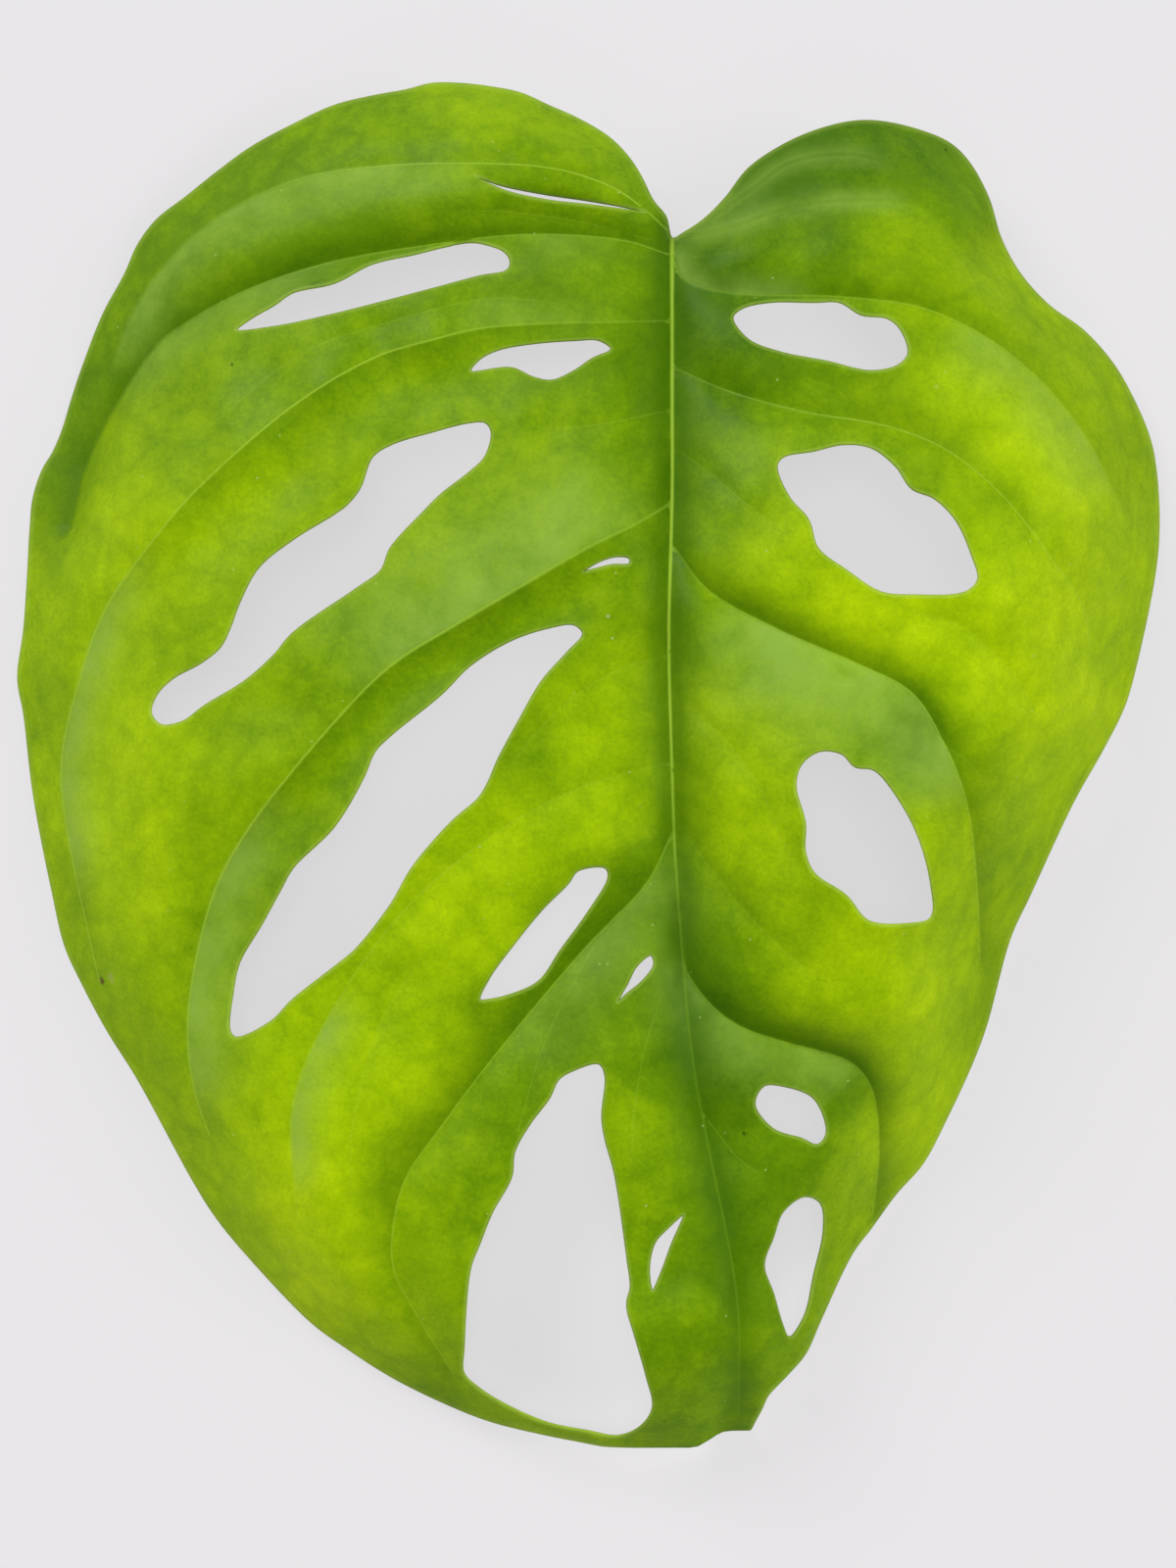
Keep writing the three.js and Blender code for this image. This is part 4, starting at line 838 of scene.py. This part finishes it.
# Each pattern shifts the drawn brightness a little, and the brightness picks the green. The
# drawn brightness holds painted light and shade as well as the leaf's own colour.
brightness = value["tone_with_painted_light"]
for pattern, amount in ((clouds, 0.35), (patches, 0.22), (mottles, 0.32),
                        (strong["net"], -0.03), (strong["wide net"], -0.07)):
    brightness = add(tree, "ShaderNodeMath", {"operation": "MULTIPLY_ADD", 1: amount},
                     {0: pattern, 2: brightness}).outputs["Value"]
brightness = add(tree, "ShaderNodeMath", {"operation": "SUBTRACT", 1: 0.4},
                 {0: brightness}).outputs["Value"]
tone_greens = add(tree, "ShaderNodeValToRGB", {}, {"Fac": brightness})
stops = [(0.0, "#4a7502"), (0.3, "#6c9502"), (0.55, "#8cb202"), (0.8, "#adcf02"), (1.0, "#c8e506")]
ramp = tone_greens.color_ramp
while len(ramp.elements) < len(stops):
    ramp.elements.new(0.5)
for element, (at, code) in zip(ramp.elements, stops):
    element.position = at
    element.color = linear(code)

# Painted shade: the creases, and the slopes beside the veins that face away from the light, are a
# darker green.
with_painted_crease_shade = add(tree, "ShaderNodeMix", {"data_type": "RGBA", 7: linear("#3f6c05")},
              {0: strong["crease"], 6: tone_greens.outputs["Color"]}).outputs[2]

# On the face lie the painted grey sheen, the pale veins, the pale rim and a little dust.
painted_sheen_share = add(tree, "ShaderNodeMath", {"operation": "MULTIPLY"},
            {0: value["painted_sheen"], 1: strong["painted sheen clouds"]}).outputs["Value"]
vein_tint = add(tree, "ShaderNodeMath", {"operation": "MULTIPLY"},
                {0: strong["vein"], 1: value["vein_strength"]}).outputs["Value"]
face = with_painted_crease_shade
for share, code in ((painted_sheen_share, "#94b84c"), (vein_tint, "#a8cc3c"), (strong["rim"], "#b7cf62"),
                    (strong["dust"], "#c3d37c")):
    face = add(tree, "ShaderNodeMix", {"data_type": "RGBA", 7: linear(code)},
               {0: share, 6: face}).outputs[2]

# A few old wounds have dried dark, brown or pale.
for mark_x, mark_y, radius, strength, code in marks:
    spot = (tops[np.hypot(x - mark_x, y - mark_y).argmin()] + home) / 1000
    off = add(tree, "ShaderNodeVectorMath", {"operation": "DISTANCE", 1: tuple(spot)},
              {0: place}).outputs["Value"]
    ragged = add(tree, "ShaderNodeMath", {"operation": "MULTIPLY_ADD", 1: radius / 1000},
                 {0: mottles, 2: off}).outputs["Value"]
    mark = add(tree, "ShaderNodeMapRange", {
        "From Min": 0.9 * radius / 1000, "From Max": 1.5 * radius / 1000, "To Min": strength,
        "To Max": 0.0}, {"Value": ragged}).outputs["Result"]
    face = add(tree, "ShaderNodeMix", {"data_type": "RGBA", 7: linear(code)},
               {0: mark, 6: face}).outputs[2]

# The back is paler and duller, with pale ribs.
dull = add(tree, "ShaderNodeMix", {"data_type": "RGBA", 0: 0.55, 7: linear("#a3bd6a")},
           {6: with_painted_crease_shade}).outputs[2]
back = add(tree, "ShaderNodeMix", {"data_type": "RGBA", 7: linear("#b9cf83")},
           {0: strong["vein"], 6: dull}).outputs[2]
colour = add(tree, "ShaderNodeMix", {"data_type": "RGBA"},
             {0: value["under"], 6: face, 7: back}).outputs[2]

# The wax shines unevenly, and less when it is seen aslant or on the back.
glancing = add(tree, "ShaderNodeLayerWeight", {"Blend": 0.5}).outputs["Facing"]
softened = add(tree, "ShaderNodeMath", {"operation": "MULTIPLY_ADD", 1: 0.6},
               {0: glancing, 2: strong["roughness"]}).outputs["Value"]
matt = add(tree, "ShaderNodeMath", {"operation": "MULTIPLY_ADD", 1: 0.15, "use_clamp": True},
           {0: value["under"], 2: softened}).outputs["Value"]
grain = add(tree, "ShaderNodeMath", {"operation": "MULTIPLY_ADD", 1: -0.12},
            {0: strong["net"], 2: mottles}).outputs["Value"]
relief = add(tree, "ShaderNodeBump", {"Strength": 0.5, "Distance": 0.00008},
             {"Height": grain}).outputs["Normal"]
skin = add(tree, "ShaderNodeBsdfPrincipled", {
    "IOR": 1.45, "Specular IOR Level": 0.16, "Subsurface Weight": 0.06,
    "Subsurface Radius": (0.6, 1.0, 0.15), "Subsurface Scale": 0.0006,
}, {"Base Color": colour, "Roughness": matt, "Normal": relief})
add(tree, "ShaderNodeOutputMaterial", {}, {"Surface": skin.outputs["BSDF"]})
blade.data.materials.append(leaf_skin)

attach(blade, "root")
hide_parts("leaf_blade")

# ------------------------------------------------------------------------------------------------
# The stalk
# A firm green stalk, 4 mm thick. It leaves the back of the blade through a swollen joint, bends
# back under it and lies on the table with its groove downwards. Its lower end is cut across.
# ------------------------------------------------------------------------------------------------

# Half its thickness, where it leaves the blade, and how far apart its rings of points stand.
stalk_half = 2.1
stalk_start = -3.4
stalk_step = 0.7

# The swollen joint at its upper end: how long it is, and how many times thicker than the stalk.
joint_length = 17
joint_swell = 1.22

# Its section, with the groove at the top, as a share of half the thickness.
stalk_section = [
    [0, -1], [0.62, -0.78], [0.96, -0.28], [0.97, 0.3], [0.74, 0.78], [0.46, 0.95], [0.2, 0.6],
    [-0.2, 0.6], [-0.46, 0.95], [-0.74, 0.78], [-0.97, 0.3], [-0.96, -0.28], [-0.62, -0.78],
]

over_stalk = np.hypot(plan[:, 0], plan[:, 1] - stalk_start) < stalk_half
stalk_top = bottoms[over_stalk, 2].min() + 0.4
stalk_line = smooth_line([
    [0, stalk_start, stalk_top],
    [0, stalk_start + 0.1, stalk_top - 3.5],
    [0, stalk_start - 0.2, stalk_top - 8],
    [0.2, stalk_start - 3, stalk_top - 12.6],
    [0.6, -12, stalk_half + 2],
    [1.2, -20, stalk_half + 0.5],
    [2, -32, stalk_half + 0.05],
    [3, -60, stalk_half],
    [3.6, -90, stalk_half],
    [4, -120, stalk_half],
    [5, -146, stalk_half + 0.1],
], False, stalk_step)
section = smooth_line(stalk_section, True, 0.13)
around = len(section)
headings = np.gradient(stalk_line, axis=0)
headings /= np.linalg.norm(headings, axis=1)[:, None]
rings_of_stalk = []
for i, (centre, heading) in enumerate(zip(stalk_line, headings)):
    run = i * stalk_step
    across = np.array([1, 0, 0]) - heading[0] * heading
    across /= np.linalg.norm(across)
    to_groove = np.cross(across, heading)
    in_joint = min(run / joint_length, 1)
    swollen = 1 + (joint_swell - 1) * math.sqrt(max(math.sin(math.pi * in_joint), 0))
    wrinkle = 0.02 * math.sin(run * 4.5) * (1 - ease(run, 9, joint_length))
    lengths = np.linalg.norm(section, axis=1)
    grooved = ease(in_joint, 0.5, 1)
    arms = section / lengths[:, None] * (1 - grooved + grooved * lengths)[:, None]
    lumps = [noise(Vector((arm[0] * 1.5, arm[1] * 1.5, run / 6))) for arm in arms]
    arms = arms * (1 + 0.03 * np.array(lumps) + wrinkle)[:, None] * stalk_half * swollen
    rings_of_stalk.append(centre + arms[:, :1] * across + arms[:, 1:] * to_groove)
last, end_heading = rings_of_stalk[-1], headings[-1]
end_centre = last.mean(0)

# The cut end has a slightly raised rim and sinks towards its middle.
for shrink, sink in ((0.93, -0.12), (0.85, 0.05), (0.5, 0.2), (0.2, 0.25)):
    rings_of_stalk.append(end_centre + (last - end_centre) * shrink - end_heading * sink)
top_centre = rings_of_stalk[0].mean(0)
stalk_corners = np.vstack(rings_of_stalk + [top_centre, end_centre - end_heading * 0.25])
ring_count = len(rings_of_stalk)
stalk_faces = []
for ring in range(ring_count - 1):
    for i in range(around):
        j = (i + 1) % around
        one, two = ring * around, (ring + 1) * around
        stalk_faces.append((one + i, one + j, two + j, two + i))
for i in range(around):
    j = (i + 1) % around
    stalk_faces.append((ring_count * around, j, i))
    end_ring = (ring_count - 1) * around
    stalk_faces.append((ring_count * around + 1, end_ring + i, end_ring + j))
girth = np.linspace(0, 2 * math.pi * stalk_half, around, endpoint=False)
stalk_run = np.repeat(np.minimum(np.arange(ring_count), len(stalk_line) - 1) * stalk_step, around)
cut = np.repeat(np.arange(ring_count) >= len(stalk_line), around).astype(float)
stalk = piece_from("stalk", stalk_corners, stalk_faces, {
    "girth": np.append(np.tile(girth, ring_count), [0, 0]),
    "run": np.append(stalk_run, [0, stalk_run[-1]]),
    "cut": np.append(cut, [0, 1]),
})

# Stalk skin: smooth green bark over stringy bundles, as it grew, and browned where it was cut.
# The eye gets fine lengthwise lines, pale dots, and a duller, greyer joint.
stalk_skin = bpy.data.materials.new("stalk skin, lined and cut across")
stalk_skin.use_nodes = True
tree = stalk_skin.node_tree
tree.nodes.clear()
place = add(tree, "ShaderNodeTexCoord", {}).outputs["Object"]
value = {name: add(tree, "ShaderNodeAttribute", {"attribute_name": name}).outputs["Fac"]
         for name in ("girth", "run", "cut")}

# The bundles lie about 0.5 mm apart and run 30 mm before they fade.
along_stalk = add(tree, "ShaderNodeMath", {"operation": "MULTIPLY", 1: 0.5 / 30},
                  {0: value["run"]}).outputs["Value"]
bundle_place = add(tree, "ShaderNodeCombineXYZ", {},
                   {"X": value["girth"], "Y": along_stalk}).outputs["Vector"]
bundles = add(tree, "ShaderNodeTexNoise", {"Scale": 1 / 0.5, "Detail": 2.0},
              {"Vector": bundle_place}).outputs["Fac"]
patches = add(tree, "ShaderNodeTexNoise", {"Scale": 1000 / 7, "Detail": 3.0},
              {"Vector": place}).outputs["Fac"]

# Pale dots 2.2 mm apart lie on a mottled green, the joint is greyer, and towards the cut the
# skin turns tan.
dots = add(tree, "ShaderNodeTexVoronoi", {"Scale": 1000 / 2.2},
           {"Vector": place}).outputs["Distance"]
for name, source, this, that, at_this, at_that in (
        ("dot", dots, 0.08, 0.14, 0.5, 0),
        ("joint", value["run"], 8, 18, 0.45, 0),
        ("cut", value["run"], 136, 150, 0, 0.5),
        ("roughness", patches, 0.3, 0.7, 0.42, 0.58)):
    strong[name] = add(tree, "ShaderNodeMapRange", {
        "From Min": this, "From Max": that, "To Min": at_this, "To Max": at_that,
    }, {"Value": source}).outputs["Result"]
greens = add(tree, "ShaderNodeValToRGB", {}, {"Fac": patches})
for element, at, code in zip(greens.color_ramp.elements, (0.3, 0.7), ("#6f9a2a", "#93b645")):
    element.position = at
    element.color = linear(code)
lined = add(tree, "ShaderNodeMix", {"data_type": "RGBA", "blend_type": "MULTIPLY", 0: 0.35},
            {6: greens.outputs["Color"], 7: bundles}).outputs[2]
stalk_green = lined
for share, code in ((strong["dot"], "#b9cc86"), (strong["joint"], "#7d9560"),
                    (strong["cut"], "#9c9a4a")):
    stalk_green = add(tree, "ShaderNodeMix", {"data_type": "RGBA", 7: linear(code)},
                      {0: share, 6: stalk_green}).outputs[2]

# The cut shows the ends of the bundles, 0.6 mm apart.
ends = add(tree, "ShaderNodeTexVoronoi", {"Scale": 1000 / 0.6}, {"Vector": place})
pith = add(tree, "ShaderNodeValToRGB", {}, {"Fac": ends.outputs["Distance"]})
for element, at, code in zip(pith.color_ramp.elements, (0.15, 0.4), ("#7a6a35", "#c9cc8e")):
    element.position = at
    element.color = linear(code)
stalk_colour = add(tree, "ShaderNodeMix", {"data_type": "RGBA"},
                   {0: value["cut"], 6: stalk_green, 7: pith.outputs["Color"]}).outputs[2]
stalk_relief = add(tree, "ShaderNodeBump", {"Strength": 0.4, "Distance": 0.00015},
                   {"Height": bundles}).outputs["Normal"]
bark = add(tree, "ShaderNodeBsdfPrincipled", {
    "IOR": 1.45, "Specular IOR Level": 0.4, "Subsurface Weight": 0.1,
    "Subsurface Radius": (0.6, 1.0, 0.2), "Subsurface Scale": 0.0008,
}, {"Base Color": stalk_colour, "Roughness": strong["roughness"], "Normal": stalk_relief})
add(tree, "ShaderNodeOutputMaterial", {}, {"Surface": bark.outputs["BSDF"]})
stalk.data.materials.append(stalk_skin)

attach(stalk, "root")
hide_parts("petiole")

# ------------------------------------------------------------------------------------------------
# The table, the light and the camera
# A plain pale table under wide soft lamps. The camera looks straight down.
# ------------------------------------------------------------------------------------------------

table_mesh = bpy.data.meshes.new("table")
table_mesh.from_pydata([(-7, -7, 0), (7, -7, 0), (7, 7, 0), (-7, 7, 0)], [],
                       [(0, 1, 2, 3)])
table = bpy.data.objects.new("table", table_mesh)
bpy.context.collection.objects.link(table)

# Matt painted board: a near white that gives the eye no gloss and looks pale in the leaf's
# shade too. On the leaf it throws no more light than plain paint does.
board = bpy.data.materials.new("matt painted board")
board.use_nodes = True
tree = board.node_tree
paint = tree.nodes["Principled BSDF"]
paint.inputs["Base Color"].default_value = linear("#e9e7e9")
paint.inputs["Roughness"].default_value = 0.9
paint.inputs["Specular IOR Level"].default_value = 0.1
to_camera = add(tree, "ShaderNodeLightPath", {}).outputs["Is Camera Ray"]
pale_share = add(tree, "ShaderNodeMath", {"operation": "MULTIPLY", 1: 0.78},
                 {0: to_camera}).outputs["Value"]
pale = add(tree, "ShaderNodeEmission", {"Color": linear("#e9e7e9")}).outputs["Emission"]
board_face = add(tree, "ShaderNodeMixShader", {},
                 {0: pale_share, 1: paint.outputs["BSDF"], 2: pale}).outputs["Shader"]
tree.links.new(board_face, tree.nodes["Material Output"].inputs["Surface"])
table.data.materials.append(board)
table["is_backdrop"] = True


def lamp(name, place, width, watts, glares):
    """A square soft lamp, turned to the leaf. One that doesn't glare only lights."""
    light = bpy.data.lights.new(name, "AREA")
    light.size = width
    light.energy = watts
    holder = bpy.data.objects.new(name, light)
    holder.location = place
    holder.rotation_euler = (-Vector(place)).to_track_quat("-Z", "Y").to_euler()
    holder.visible_glossy = glares
    bpy.context.collection.objects.link(holder)


lamp("window lamp", (-2.6, 3.3, 3.3), 2.4, 163, True)
lamp("wall lamp", (3.9, 0.3, 2.9), 2.7, 102, False)
lamp("front lamp", (0.3, -4.2, 3.3), 2.7, 41, False)
lamp("ceiling lamp", (0, 0.3, 4.5), 1.2, 50, False)

world = bpy.data.worlds.new("pale room")
world.use_nodes = True
# The room is dim, but looks as pale as the table behind it.
tree = world.node_tree
to_camera = add(tree, "ShaderNodeLightPath", {}).outputs["Is Camera Ray"]
room = add(tree, "ShaderNodeMapRange", {"To Min": 0.11, "To Max": 0.75}, {"Value": to_camera})
tree.nodes["Background"].inputs["Color"].default_value = linear("#f4f3f6")
tree.links.new(room.outputs["Result"], tree.nodes["Background"].inputs["Strength"])
world.cycles_visibility.glossy = False
bpy.context.scene.world = world
bpy.context.scene.view_settings.view_transform = "Standard"

optics = bpy.data.cameras.new("camera")
optics.lens = 85
optics.sensor_width = 36
optics.clip_start = 0.05
camera = bpy.data.objects.new("camera", optics)
camera.location = ((eye_place[0] + home[0]) / 1000, (eye_place[1] + home[1]) / 1000,
                   (eye_height + eye_level + home[2]) / 1000)
bpy.context.collection.objects.link(camera)
bpy.context.scene.camera = camera

low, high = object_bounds()
